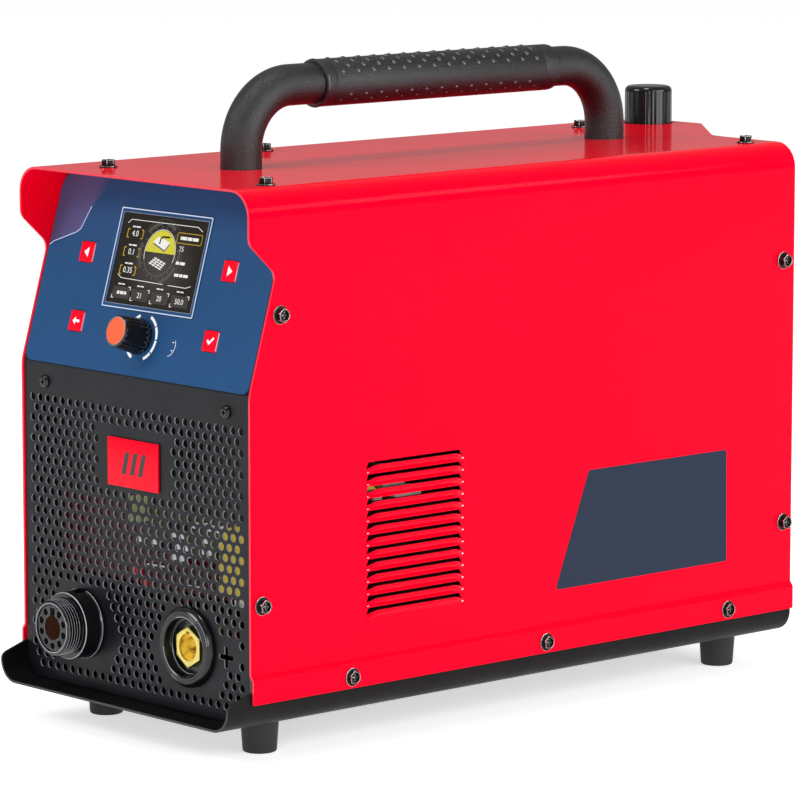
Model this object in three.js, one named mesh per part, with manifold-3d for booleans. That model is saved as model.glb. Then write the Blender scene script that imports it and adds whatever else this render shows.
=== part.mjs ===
// Inverter plasma cutter power source with a tubular carrying handle.
// Millimetres, +Z up, the front faces -Y, the feet stand on z = 0.

import * as THREE from 'three';
import { mergeVertices } from 'three/addons/utils/BufferGeometryUtils.js';
import Module from 'manifold-3d';

const wasm = await Module();
wasm.setup();

// ---- Driving dimensions ----

// Case. y = 0 is the front edge of the cover.
const CASE_WIDTH = 222;
const CASE_LENGTH = 468;
const SHEET = 1.5;
const FOOT_HEIGHT = 23;
const TRAY_BOTTOM = FOOT_HEIGHT;
const COVER_BOTTOM = 39;
const COVER_TOP = 348;
const COVER_BEND = 16;
const JOGGLE_LOW = 54;
const JOGGLE_HIGH = 57;
const JOGGLE_OUT = 2.5;
const TRAY_WIDTH = 223;
const TRAY_BEND = 14;
const TRAY_LIP_Y = -18.6;
const TRAY_CHEEK_TOP = 46.5;
const TRAY_WALL_TOP = 53;
const FIT_GAP = 0.4;

// Front outline of the cover, seen from the side
const BEND_Z = 225.6;
const SLANT_TOP_Y = 21;
const SLANT_TOP_Z = 297.3;
const VISOR_Z = 316.5;
const PANEL_Y = 1;
const PANEL_FLANGE = 13;

// Rear hood over the air regulator
const HOOD_END_Y = 528;
const HOOD_WIDE_X = 45;
const HOOD_NARROW_X = -27;
const HOOD_FAR_X = -84;
const FLAT_TOP_X = CASE_WIDTH / 2 - COVER_BEND;

// Side louvres
const LOUVRE_COUNT = 13;
const LOUVRE_PITCH = 7.5;
const LOUVRE_TOP_Z = 176.5;
const LOUVRE_OPENING = 3;
const LOUVRE_LENGTH = 78;
const LOUVRE_Y = 130.5;

// Feet
const FOOT_X = 75;
const FOOT_FRONT_Y = 37;
const FOOT_REAR_Y = 436;
const FOOT_TOP_RADIUS = 12.4;
const FOOT_BOTTOM_RADIUS = 10.5;

// Handle
const HANDLE_FRONT_Y = 87.5;
const HANDLE_REAR_Y = 401.5;
const HANDLE_AXIS_Z = 397.8;
const HANDLE_BEND = 39;
const HANDLE_RADIUS = 13;
const HANDLE_WALL = 2;
const HANDLE_ROOT_Z = 326;
const GRIP_RADIUS = 15;
const GRIP_FRONT_Y = 146;
const GRIP_REAR_Y = 348;

// Control panel, measured up the slope from the bend
const LCD_WIDTH = 87.6;
const LCD_HEIGHT = 62.6;
const LCD_UP = 72;
const LCD_BORDER = 3.6;
const KEY_SIZE = 12.7;
const KEY_TRAVEL = 0.8;
const KEYS = {
  button_left: [-69, 72.5],
  button_right: [69, 72.5],
  button_back: [-65, 29],
  button_select: [65, 29],
};
const ENCODER_UP = 25;
const ENCODER_RADIUS = 11;
const ENCODER_TIP_RADIUS = 9.6;
const ENCODER_LENGTH = 21.5;
const BOARD_DEPTH = 10;

// Front sockets
const SOCKET_X = 51.5;
const SOCKET_Z = 65.8;
const TORCH_REACH = 26;
const TORCH_BASE_RADIUS = 20.8;
const TORCH_BASE_REACH = 14.4;
const TORCH_THREAD_RADIUS = 16.5;
const TORCH_BORE_RADIUS = 14.8;
const TORCH_CONTACT_RADIUS = 11.3;
const TORCH_CONTACTS = 9;
const WORK_FLANGE_RADIUS = 25;
const WORK_BARREL_RADIUS = 18.4;
const WORK_FLANGE = 4.8;
const WORK_RECESS_RADIUS = 18.4;
const WORK_HEX_CORNER = 12.9;
const WORK_BORE_RADIUS = 7.4;

// Rear fittings
const REAR_Y = CASE_LENGTH - 2;
const REGULATOR_X = -64;
const REGULATOR_Y = 506.5;
const REGULATOR_WIDTH = 40;
const REGULATOR_DEPTH = 28;
const REGULATOR_LOW = 268;
const REGULATOR_HIGH = 316;
const KNOB_RADIUS = 16.4;
const KNOB_LOW = 328;
const KNOB_TOP = 373.5;
const GAUGE_Z = 292;
const GAUGE_RADIUS = 14;
const FAN_X = 35;
const FAN_Z = 125;
const FAN_SIZE = 119;
const FAN_DEPTH = 38;
const FAN_DUCT_RADIUS = 57.5;
const SWITCH_X = 62;
const SWITCH_Z = 262;
const SWITCH_TILT = THREE.MathUtils.degToRad(10);
const GLAND_X = -62;
const GLAND_Z = 92;
const ELBOW_X = -26;
const ELBOW_Z = 292;
const VALVE_X = -60;

const INNER_HALF = CASE_WIDTH / 2 - SHEET - FIT_GAP;
const SLANT = Math.atan2(SLANT_TOP_Y, SLANT_TOP_Z - BEND_Z);
const HIDDEN_GAP = 0.3;

// ---- Materials ----

function finish(colour, roughness, metalness = 0) {
  return new THREE.MeshStandardMaterial({ color: colour, roughness, metalness });
}

const FINISH = {
  redPaint: finish(0xe3002c, 0.3),
  blackPaint: finish(0x2a2c2f, 0.55),
  blueOverlay: finish(0x2b4f7d, 0.4),
  blackPlastic: finish(0x17181a, 0.5),
  glossBlack: finish(0x0c0c0d, 0.15),
  rubber: finish(0x1c1d1f, 0.85),
  redPlastic: finish(0xd8102a, 0.35),
  orangePlastic: finish(0xf2552c, 0.4),
  silver: finish(0xc8ccd0, 0.3, 1),
  glass: finish(0x16150f, 0.08),
  board: finish(0x1d5a38, 0.5),
  brass: finish(0xc9a13a, 0.25, 1),
  aluminium: finish(0xb4b7ba, 0.4, 1),
  steel: finish(0x8e9195, 0.35, 1),
  ferrite: finish(0x2c2b2d, 0.7),
  yellowTape: finish(0xd9b21f, 0.45),
  white: finish(0xe8e8e4, 0.5),
  hose: finish(0x2765b0, 0.4),
  darkSteel: finish(0x2b2b2d, 0.35, 1),
};

// ---- Solids ----

function toManifold(geometry) {
  const bare = geometry.clone();
  bare.deleteAttribute('normal');
  bare.deleteAttribute('uv');
  const merged = mergeVertices(bare, 1e-4);
  const vertProperties = new Float32Array(merged.attributes.position.array);
  const triVerts = new Uint32Array(merged.index.array);
  return new wasm.Manifold(new wasm.Mesh({ numProp: 3, vertProperties, triVerts }));
}

function toGeometry(manifold) {
  const mesh = manifold.getMesh();
  const geometry = new THREE.BufferGeometry();
  geometry.setAttribute('position', new THREE.BufferAttribute(mesh.vertProperties, 3));
  geometry.setIndex(new THREE.BufferAttribute(mesh.triVerts, 1));
  return geometry;
}

function join(...geometries) {
  const solids = geometries.map(toManifold);
  return toGeometry(solids.reduce((whole, solid) => whole.add(solid)));
}

function cut(geometry, ...tools) {
  const solids = tools.map(toManifold);
  return toGeometry(solids.reduce((whole, tool) => whole.subtract(tool), toManifold(geometry)));
}

function common(first, second) {
  return toGeometry(toManifold(first).intersect(toManifold(second)));
}

// A box between two corners
function block(low, high) {
  const size = high.map((value, axis) => value - low[axis]);
  const middle = high.map((value, axis) => (value + low[axis]) / 2);
  return new THREE.BoxGeometry(...size).translate(...middle);
}

// A cylinder along x, y or z, from one coordinate to another
function rod(axis, radius, from, to, centre, sides = 24, endRadius = radius) {
  const geometry = new THREE.CylinderGeometry(endRadius, radius, to - from, sides);
  geometry.translate(0, (from + to) / 2, 0);
  if (axis === 'z') {
    geometry.rotateX(Math.PI / 2);
    return geometry.translate(centre[0], centre[1], 0);
  }
  if (axis === 'x') {
    geometry.rotateZ(-Math.PI / 2);
    return geometry.translate(0, centre[0], centre[1]);
  }
  return geometry.translate(centre[0], 0, centre[1]);
}

// A closed profile of [radius, height] points turned about the z axis
function turned(profile, sides = 24) {
  const points = profile.map(([radius, height]) => new THREE.Vector2(radius, height));
  const geometry = new THREE.LatheGeometry(points, sides);
  return geometry.rotateX(Math.PI / 2);
}

function outline(points) {
  return new THREE.Shape(points.map(([a, b]) => new THREE.Vector2(a, b)));
}

// A [y, z] outline extruded along x
function prismX(shape, from, to) {
  const geometry = new THREE.ExtrudeGeometry(shape, { depth: to - from, bevelEnabled: false });
  const turn = new THREE.Matrix4().set(0, 0, 1, from, 1, 0, 0, 0, 0, 1, 0, 0, 0, 0, 0, 1);
  return geometry.applyMatrix4(turn);
}

// An [x, z] outline extruded along y
function prismY(shape, from, to) {
  const geometry = new THREE.ExtrudeGeometry(shape, { depth: to - from, bevelEnabled: false });
  geometry.rotateX(Math.PI / 2);
  return geometry.translate(0, to, 0);
}

// An [x, y] outline extruded along z
function prismZ(shape, from, to) {
  const geometry = new THREE.ExtrudeGeometry(shape, { depth: to - from, bevelEnabled: false });
  return geometry.translate(0, 0, from);
}

function arcPoints(centre, radius, fromDegrees, toDegrees, steps) {
  const points = [];
  for (let step = 0; step <= steps; step += 1) {
    const degrees = fromDegrees + ((toDegrees - fromDegrees) * step) / steps;
    const angle = THREE.MathUtils.degToRad(degrees);
    points.push([centre[0] + radius * Math.cos(angle), centre[1] + radius * Math.sin(angle)]);
  }
  return points;
}

function mirrored(points) {
  return points.map(([x, z]) => [-x, z]).reverse();
}

// A regular hexagon with a corner at the top
function hexagon(cornerRadius, centre = [0, 0]) {
  return outline(arcPoints(centre, cornerRadius, 90, 390, 5));
}

const root = new THREE.Group();
const machine = new THREE.Group();
root.add(machine);

function addPart(name, geometry, material, parent = machine) {
  const mesh = new THREE.Mesh(geometry, material);
  mesh.name = name;
  parent.add(mesh);
  return mesh;
}

// A frame on the sloping panel: x across, y up the slope, z outwards
const slope = new THREE.Group();
slope.position.set(0, PANEL_Y, BEND_Z);
slope.rotation.x = Math.PI / 2 - SLANT;
machine.add(slope);

// A frame on the upright panel: x across, y up, z outwards
const upright = new THREE.Group();
upright.position.set(0, PANEL_Y, 0);
upright.rotation.x = Math.PI / 2;
machine.add(upright);

// ---- Case ----

// Half of the cover's section, from the strip's lower edge to the middle of the top
function coverHalf(inset) {
  const side = CASE_WIDTH / 2 - inset;
  const radius = COVER_BEND - inset;
  const centre = [CASE_WIDTH / 2 - COVER_BEND, COVER_TOP - COVER_BEND];
  return [
    [side + JOGGLE_OUT, COVER_BOTTOM],
    [side + JOGGLE_OUT, JOGGLE_LOW],
    [side, JOGGLE_HIGH],
    ...arcPoints(centre, radius, 0, 90, 7),
  ];
}

function coverSection() {
  const outer = coverHalf(0);
  const inner = coverHalf(SHEET);
  const outside = [...outer, ...mirrored(outer)];
  const inside = [...inner, ...mirrored(inner)].reverse();
  return outline([...outside, ...inside]);
}

function coverSideOutline() {
  return outline([
    [0, COVER_BOTTOM],
    [CASE_LENGTH, COVER_BOTTOM],
    [CASE_LENGTH, COVER_TOP],
    [0, COVER_TOP],
    [0, VISOR_Z],
    [SLANT_TOP_Y, SLANT_TOP_Z],
    [0, BEND_Z],
  ]);
}

function hoodOutline() {
  const start = CASE_LENGTH - 1;
  return outline([
    [HOOD_WIDE_X, start],
    [HOOD_WIDE_X - 12, CASE_LENGTH + 4],
    [HOOD_NARROW_X + 6, HOOD_END_Y - 8],
    [HOOD_NARROW_X - 4, HOOD_END_Y],
    [HOOD_FAR_X, HOOD_END_Y],
    [-FLAT_TOP_X, HOOD_END_Y - 22],
    [-FLAT_TOP_X, start],
  ]);
}

function louvreSlots() {
  const slots = [];
  const half = CASE_WIDTH / 2 + 1;
  for (let row = 0; row < LOUVRE_COUNT; row += 1) {
    const top = LOUVRE_TOP_Z - row * LOUVRE_PITCH;
    const front = LOUVRE_Y - LOUVRE_LENGTH / 2;
    const rear = LOUVRE_Y + LOUVRE_LENGTH / 2;
    const inner = half - SHEET - 2;
    slots.push(block([inner, front, top - LOUVRE_OPENING], [half, rear, top]));
    slots.push(block([-half, front, top - LOUVRE_OPENING], [-inner, rear, top]));
  }
  return slots;
}

function topCover() {
  const folded = prismY(coverSection(), 0, CASE_LENGTH);
  const halfSpan = CASE_WIDTH / 2 + JOGGLE_OUT + 1;
  const trimmed = common(folded, prismX(coverSideOutline(), -halfSpan, halfSpan));
  const hood = prismZ(hoodOutline(), COVER_TOP - SHEET, COVER_TOP);
  const legHole = (y) => rod('z', HANDLE_RADIUS + FIT_GAP, COVER_TOP - 5, COVER_TOP + 5, [0, y]);
  const knobCentre = [REGULATOR_X, REGULATOR_Y];
  const knobHole = rod('z', KNOB_RADIUS + 1.2, COVER_TOP - 5, COVER_TOP + 5, knobCentre);
  const holes = [legHole(HANDLE_FRONT_Y), legHole(HANDLE_REAR_Y), knobHole];
  return cut(join(trimmed, hood), ...holes, ...louvreSlots());
}

function baseTray() {
  const half = (inset) => {
    const radius = TRAY_BEND - inset;
    const centre = [TRAY_WIDTH / 2 - TRAY_BEND, TRAY_BOTTOM + TRAY_BEND];
    const side = TRAY_WIDTH / 2 - inset;
    return [...arcPoints(centre, radius, -90, 0, 6), [side, TRAY_WALL_TOP]];
  };
  const outside = [...mirrored(half(0)), ...half(0)];
  const inside = [...mirrored(half(SHEET)), ...half(SHEET)].reverse();
  const section = prismY(outline([...outside, ...inside]), TRAY_LIP_Y, REAR_Y + 1.5);
  const side = outline([
    [TRAY_LIP_Y, TRAY_BOTTOM],
    [REAR_Y + 1.5, TRAY_BOTTOM],
    [REAR_Y + 1.5, TRAY_WALL_TOP],
    [6, TRAY_WALL_TOP],
    [3, TRAY_CHEEK_TOP + 1],
    [TRAY_LIP_Y + 2.2, TRAY_CHEEK_TOP - 5.6],
    [TRAY_LIP_Y, TRAY_CHEEK_TOP - 7.6],
  ]);
  return common(section, prismX(side, -TRAY_WIDTH, TRAY_WIDTH));
}

// What the cover and the tray leave free inside, seen from the front
function innerOutline() {
  const topRadius = COVER_BEND - SHEET;
  const top = COVER_TOP - SHEET - FIT_GAP;
  const bottom = TRAY_BOTTOM + SHEET + FIT_GAP;
  const lowRadius = TRAY_BEND - SHEET + 0.8;
  const right = [
    ...arcPoints([INNER_HALF - lowRadius, bottom + lowRadius], lowRadius, -90, 0, 5),
    ...arcPoints([INNER_HALF - topRadius, top - topRadius], topRadius, 0, 90, 5),
  ];
  return outline([...right, ...mirrored(right)]);
}

// The bent sheet's side outline, offset inwards from its outer face
function frontFace(depth) {
  const rise = COVER_TOP - BEND_Z;
  const shift = depth / Math.cos(SLANT);
  const bendShift = depth * Math.tan(SLANT / 2);
  return [
    [PANEL_Y + depth, TRAY_BOTTOM],
    [PANEL_Y + depth, BEND_Z - bendShift],
    [PANEL_Y + shift + rise * Math.tan(SLANT), COVER_TOP],
  ];
}

function frontPanel() {
  const sheet = outline([...frontFace(SHEET), ...frontFace(0).reverse()]);
  const flange = outline([...frontFace(PANEL_FLANGE), ...frontFace(SHEET / 2).reverse()]);
  const bent = join(
    prismX(sheet, -INNER_HALF, INNER_HALF),
    prismX(flange, -INNER_HALF, SHEET - INNER_HALF),
    prismX(flange, INNER_HALF - SHEET, INNER_HALF),
  );
  const panel = common(bent, prismY(innerOutline(), 0, CASE_LENGTH));
  const throughUpright = (x, radius) => rod('y', radius, -5, 5, [x, SOCKET_Z], 32);
  const onSlope = (geometry) => geometry.applyMatrix4(slope.matrix);
  slope.updateMatrix();
  const windowX = LCD_WIDTH / 2 - LCD_BORDER;
  const windowY = LCD_HEIGHT / 2 - LCD_BORDER;
  const openings = Object.values(KEYS).map(([x, up]) => keyOpening(x, up));
  return cut(
    panel,
    throughUpright(-SOCKET_X, TORCH_BASE_RADIUS - 2),
    throughUpright(SOCKET_X, WORK_BARREL_RADIUS + 0.8),
    onSlope(block([-windowX, LCD_UP - windowY, -5], [windowX, LCD_UP + windowY, 5])),
    onSlope(rod('z', 4, -5, 5, [0, ENCODER_UP], 16)),
    ...openings.map(onSlope),
  );
}

function keyOpening(x, up) {
  const half = KEY_SIZE / 2 + FIT_GAP;
  return block([x - half, up - half, -5], [x + half, up + half, 5]);
}

function rearPanel() {
  const sheet = prismY(innerOutline(), REAR_Y - SHEET, REAR_Y);
  const flanges = [-1, 1].map((side) => {
    const inner = side * (INNER_HALF - SHEET);
    const outer = side * INNER_HALF;
    const low = [Math.min(inner, outer), REAR_Y - PANEL_FLANGE, 60];
    const high = [Math.max(inner, outer), REAR_Y - SHEET / 2, 330];
    return block(low, high);
  });
  const through = (x, z, radius) => rod('y', radius, REAR_Y - 4, REAR_Y + 4, [x, z], 32);
  const switchHole = block(
    [SWITCH_X - 13.4, REAR_Y - 4, SWITCH_Z - 18.4],
    [SWITCH_X + 13.4, REAR_Y + 4, SWITCH_Z + 18.4],
  );
  return cut(
    join(sheet, ...flanges),
    through(FAN_X, FAN_Z, FAN_DUCT_RADIUS - 1),
    through(GLAND_X, GLAND_Z, 10.4),
    through(ELBOW_X, ELBOW_Z, 7),
    switchHole,
  );
}

function controlOverlay() {
  const half = INNER_HALF - 0.6;
  const top = (SLANT_TOP_Z + 47 - BEND_Z) / Math.cos(SLANT);
  const radius = 5;
  const shape = outline([
    ...arcPoints([half - radius, radius + 0.6], radius, -90, 0, 4),
    [half, top - 16],
    [half - 16, top],
    [16 - half, top],
    [-half, top - 16],
    ...arcPoints([radius - half, radius + 0.6], radius, 180, 270, 4),
  ]);
  const sheet = prismZ(shape, HIDDEN_GAP, HIDDEN_GAP + 0.4);
  const windowX = LCD_WIDTH / 2 + FIT_GAP;
  const windowY = LCD_HEIGHT / 2 + FIT_GAP;
  return cut(
    sheet,
    block([-windowX, LCD_UP - windowY, -5], [windowX, LCD_UP + windowY, 5]),
    rod('z', 5.5, -5, 5, [0, ENCODER_UP], 16),
    ...Object.values(KEYS).map(([x, up]) => keyOpening(x, up)),
  );
}

function foot() {
  const top = FOOT_HEIGHT - HIDDEN_GAP;
  return turned([
    [0, 9],
    [4.6, 9],
    [4.6, 0],
    [FOOT_BOTTOM_RADIUS - 1, 0],
    [FOOT_BOTTOM_RADIUS, 1],
    [FOOT_TOP_RADIUS, top - 1],
    [FOOT_TOP_RADIUS - 0.8, top],
    [0, top],
  ], 16);
}

// Hex-flange head lying against the lower strip, with its shank through strip and tray
function stripScrew(side) {
  const face = CASE_WIDTH / 2 + JOGGLE_OUT + HIDDEN_GAP;
  const from = (distance) => side * distance;
  const between = (a, b) => [Math.min(from(a), from(b)), Math.max(from(a), from(b))];
  const flange = rod('x', 5, ...between(face, face + 1), [0, 0], 12);
  const head = rod('x', 3.9, ...between(face + 0.9, face + 3.2), [0, 0], 6);
  return join(flange, head);
}

// ---- Handle ----

function handleCurve() {
  const path = new THREE.CurvePath();
  const at = (y, z) => new THREE.Vector3(0, y, z);
  const bendZ = HANDLE_AXIS_Z - HANDLE_BEND;
  const kappa = 0.5523 * HANDLE_BEND;
  const frontTop = at(HANDLE_FRONT_Y + HANDLE_BEND, HANDLE_AXIS_Z);
  const rearTop = at(HANDLE_REAR_Y - HANDLE_BEND, HANDLE_AXIS_Z);
  path.add(new THREE.LineCurve3(at(HANDLE_FRONT_Y, HANDLE_ROOT_Z), at(HANDLE_FRONT_Y, bendZ)));
  path.add(new THREE.CubicBezierCurve3(
    at(HANDLE_FRONT_Y, bendZ),
    at(HANDLE_FRONT_Y, bendZ + kappa),
    at(HANDLE_FRONT_Y + HANDLE_BEND - kappa, HANDLE_AXIS_Z),
    frontTop,
  ));
  path.add(new THREE.LineCurve3(frontTop, rearTop));
  path.add(new THREE.CubicBezierCurve3(
    rearTop,
    at(HANDLE_REAR_Y - HANDLE_BEND + kappa, HANDLE_AXIS_Z),
    at(HANDLE_REAR_Y, bendZ + kappa),
    at(HANDLE_REAR_Y, bendZ),
  ));
  path.add(new THREE.LineCurve3(at(HANDLE_REAR_Y, bendZ), at(HANDLE_REAR_Y, HANDLE_ROOT_Z)));
  return path;
}

function handleTube() {
  const sides = 12;
  const ring = (radius) => arcPoints([0, 0], radius, 0, 360 - 360 / sides, sides - 1);
  const section = outline(ring(HANDLE_RADIUS));
  section.holes.push(outline(ring(HANDLE_RADIUS - HANDLE_WALL)));
  return new THREE.ExtrudeGeometry(section, { steps: 30, extrudePath: handleCurve() });
}

function handleGrip() {
  const bore = HANDLE_RADIUS + FIT_GAP;
  const length = GRIP_REAR_Y - GRIP_FRONT_Y;
  const sleeve = turned([
    [bore, 0],
    [GRIP_RADIUS - 0.6, 0],
    [GRIP_RADIUS, 1.5],
    [GRIP_RADIUS, length - 1.5],
    [GRIP_RADIUS - 0.6, length],
    [bore, length],
    [bore, 0],
  ], 24);
  sleeve.rotateX(-Math.PI / 2);
  return sleeve.translate(0, GRIP_FRONT_Y, HANDLE_AXIS_Z);
}

// ---- Control panel pieces, in the slope's frame ----

function lcdBezel() {
  const x = LCD_WIDTH / 2;
  const y = LCD_HEIGHT / 2;
  const frame = block([-x, LCD_UP - y, HIDDEN_GAP], [x, LCD_UP + y, 1.6]);
  const inner = LCD_BORDER - 0.6;
  const low = [inner - x, LCD_UP - y + inner, -1];
  const high = [x - inner, LCD_UP + y - inner, 3];
  return cut(frame, block(low, high));
}

function lcdGlass() {
  const x = LCD_WIDTH / 2 - LCD_BORDER + 0.3;
  const y = LCD_HEIGHT / 2 - LCD_BORDER + 0.3;
  return block([-x, LCD_UP - y, HIDDEN_GAP], [x, LCD_UP + y, 1.2]);
}

function lcdModule() {
  const x = LCD_WIDTH / 2;
  const y = LCD_HEIGHT / 2 + 2;
  return block([-x, LCD_UP - y, -8.4], [x, LCD_UP + y, -SHEET - HIDDEN_GAP]);
}

function keyCap(x, up) {
  const half = KEY_SIZE / 2;
  const shell = block([x - half, up - half, -4], [x + half, up + half, 1.3]);
  const stop = block([x - half - 1.4, up - half - 1.4, -4], [x + half + 1.4, up + half + 1.4, -2.2]);
  const stem = block([x - 1.8, up - 1.8, -6], [x + 1.8, up + 1.8, -3.5]);
  return join(shell, stop, stem);
}

function controlBoard() {
  const back = -BOARD_DEPTH - 1.6;
  const board = block([-92, 8, back], [92, 110, -BOARD_DEPTH]);
  const switches = Object.values(KEYS).map(([x, up]) => join(
    block([x - 3, up - 3, -BOARD_DEPTH - 0.5], [x + 3, up + 3, -8.2]),
    rod('z', 1.7, -8.4, -7.1, [x, up], 10),
  ));
  return join(board, ...switches);
}

function encoderBody() {
  const body = block([-6, ENCODER_UP - 6, -9.6], [6, ENCODER_UP + 6, -2]);
  const bush = rod('z', 3.5, -3, 1.4, [0, ENCODER_UP], 16);
  const bore = rod('z', 2.2, -20, 5, [0, ENCODER_UP], 12);
  return cut(join(body, bush), bore);
}

function encoderShaft() {
  return rod('z', 1.9, -8, 15, [0, ENCODER_UP], 12);
}

function encoderKnob() {
  const fluteCount = 18;
  const shell = turned([
    [4.2, 1.8],
    [ENCODER_RADIUS, 1.8],
    [ENCODER_RADIUS, 4],
    [ENCODER_TIP_RADIUS, ENCODER_LENGTH - 0.8],
    [ENCODER_TIP_RADIUS - 0.7, ENCODER_LENGTH],
    [8.4, ENCODER_LENGTH],
    [8.4, ENCODER_LENGTH - 1.4],
    [2.3, ENCODER_LENGTH - 1.4],
    [2.3, 5.5],
    [4.2, 5.5],
    [4.2, 1.8],
  ], fluteCount);
  return shell.translate(0, ENCODER_UP, 0);
}

function encoderCap() {
  const low = ENCODER_LENGTH - 1.1;
  return rod('z', 8.1, low, ENCODER_LENGTH + 0.2, [0, ENCODER_UP], 24);
}

// ---- Front sockets, in the upright frame ----

function torchHousing() {
  const tail = -18;
  const step = -12;
  const wide = TORCH_BORE_RADIUS + 0.8;
  const profile = [
    [wide, tail],
    [TORCH_BASE_RADIUS - 3, tail],
    [TORCH_BASE_RADIUS - 3, HIDDEN_GAP],
    [TORCH_BASE_RADIUS, HIDDEN_GAP],
    [TORCH_BASE_RADIUS, TORCH_BASE_REACH],
    [TORCH_THREAD_RADIUS, TORCH_BASE_REACH],
    [TORCH_THREAD_RADIUS, TORCH_REACH - 0.4],
    [TORCH_THREAD_RADIUS - 0.4, TORCH_REACH],
    [TORCH_BORE_RADIUS, TORCH_REACH],
    [TORCH_BORE_RADIUS, step],
    [wide, step],
    [wide, tail],
  ];
  return turned(profile, 24).translate(-SOCKET_X, SOCKET_Z, 0);
}

function torchInsert() {
  const front = TORCH_REACH - 0.8;
  const body = rod('z', TORCH_BORE_RADIUS - FIT_GAP, -11, front, [0, 0], 24);
  const bore = rod('z', 7.6, 4, front + 2, [0, 0], 24);
  const keyway = block([-2.6, 0, 4], [2.6, 12.4, front + 2]);
  const contacts = [];
  for (let index = 1; index <= TORCH_CONTACTS; index += 1) {
    const angle = Math.PI / 2 + (index * 2 * Math.PI) / (TORCH_CONTACTS + 1);
    const centre = [TORCH_CONTACT_RADIUS * Math.cos(angle), TORCH_CONTACT_RADIUS * Math.sin(angle)];
    contacts.push(rod('z', 1.9, front - 5, front + 2, centre, 8));
  }
  const insert = cut(body, bore, keyway, ...contacts);
  return insert.translate(-SOCKET_X, SOCKET_Z, 0);
}

function torchPin() {
  return rod('z', 2.2, 4.3, 15, [0, 0], 12).translate(-SOCKET_X, SOCKET_Z, 0);
}

function torchNut() {
  const body = prismZ(hexagon(23), -7, -SHEET - HIDDEN_GAP);
  const bore = rod('z', TORCH_BASE_RADIUS - 3 + HIDDEN_GAP, -20, 5, [0, 0], 24);
  return cut(body, bore).translate(-SOCKET_X, SOCKET_Z, 0);
}

function workHousing() {
  const profile = [
    [13.2, -24],
    [WORK_BARREL_RADIUS, -24],
    [WORK_BARREL_RADIUS, HIDDEN_GAP],
    [WORK_FLANGE_RADIUS, HIDDEN_GAP],
    [WORK_FLANGE_RADIUS, WORK_FLANGE - 1.4],
    [WORK_FLANGE_RADIUS - 1.6, WORK_FLANGE],
    [WORK_RECESS_RADIUS, WORK_FLANGE],
    [WORK_RECESS_RADIUS - 1, -1.5],
    [13.2, -1.5],
    [13.2, -24],
  ];
  return turned(profile, 24).translate(SOCKET_X, SOCKET_Z, 0);
}

function workContact() {
  const hex = prismZ(hexagon(WORK_HEX_CORNER), -30, 1.2);
  const bore = rod('z', WORK_BORE_RADIUS, -22, 5, [0, 0], 24);
  const keyway = block([-1.8, 0, -22], [1.8, 9.2, 5]);
  const stud = rod('z', 5, -42, -29, [0, 0], 12);
  return join(cut(hex, bore, keyway), stud).translate(SOCKET_X, SOCKET_Z, 0);
}

function workNut() {
  const body = prismZ(hexagon(23.6), -8, -SHEET - HIDDEN_GAP);
  const bore = rod('z', WORK_BARREL_RADIUS + HIDDEN_GAP, -20, 5, [0, 0], 24);
  return cut(body, bore).translate(SOCKET_X, SOCKET_Z, 0);
}

function badgePlate() {
  return block([-24.5, 157, HIDDEN_GAP], [24.5, 187, HIDDEN_GAP + 1]);
}

// ---- Air regulator ----

function regulatorBody() {
  const halfX = REGULATOR_WIDTH / 2;
  const halfY = REGULATOR_DEPTH / 2;
  const corner = 6;
  const shape = outline([
    [halfX, -halfY + corner],
    [halfX, halfY - corner],
    [halfX - corner, halfY],
    [corner - halfX, halfY],
    [-halfX, halfY - corner],
    [-halfX, corner - halfY],
    [corner - halfX, -halfY],
    [halfX - corner, -halfY],
  ]);
  const body = prismZ(shape, REGULATOR_LOW, REGULATOR_HIGH);
  const bonnet = rod('z', 16.5, REGULATOR_HIGH - 1, KNOB_LOW - 1, [0, 0], 24);
  const spindle = rod('z', 5, KNOB_LOW - 2, KNOB_TOP - 14, [0, 0], 12);
  const ports = rod('x', 6.6, -halfX - 1, -halfX + 10, [0, ELBOW_Z], 16);
  const outlet = rod('x', 6.6, halfX - 10, halfX + 1, [0, ELBOW_Z], 16);
  const gaugePort = rod('y', 3.4, halfY - 6, halfY + 1, [0, GAUGE_Z], 12);
  return cut(join(body, bonnet, spindle), ports, outlet, gaugePort);
}

function regulatorKnob() {
  return turned([
    [5.4, KNOB_TOP - 12],
    [12.6, KNOB_TOP - 12],
    [12.6, KNOB_LOW],
    [KNOB_RADIUS, KNOB_LOW],
    [KNOB_RADIUS - 0.3, KNOB_TOP - 4],
    [KNOB_RADIUS - 1.6, KNOB_TOP - 1],
    [KNOB_RADIUS - 3.4, KNOB_TOP],
    [0, KNOB_TOP],
    [0, KNOB_TOP - 9],
    [5.4, KNOB_TOP - 9],
    [5.4, KNOB_TOP - 12],
  ], 24);
}

function regulatorBracket() {
  const arm = block([-24, 0, 0], [24, REGULATOR_Y - REAR_Y + 16, 2]);
  const back = block([-24, 0, -34], [24, 2, 2]);
  const hole = rod('z', 16.9, -5, 5, [0, REGULATOR_Y - REAR_Y - HIDDEN_GAP], 24);
  return cut(join(arm, back), hole).translate(REGULATOR_X, REAR_Y + HIDDEN_GAP, REGULATOR_HIGH + 0.4);
}

function filterBowl() {
  const top = REGULATOR_LOW - HIDDEN_GAP;
  const bottom = top - 70;
  return turned([
    [0, bottom + 8],
    [5, bottom],
    [9, bottom + 3],
    [15.6, bottom + 12],
    [16, top - 12],
    [16.6, top - 11],
    [16.6, top],
    [13.6, top],
    [13.6, bottom + 14],
    [0, bottom + 11],
  ], 20);
}

function gaugeCase() {
  return turned([
    [0, 0],
    [GAUGE_RADIUS, 0],
    [GAUGE_RADIUS, 6.4],
    [GAUGE_RADIUS - 1.2, 6.8],
    [GAUGE_RADIUS - 1.2, 1.6],
    [0, 1.6],
  ], 24);
}

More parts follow.
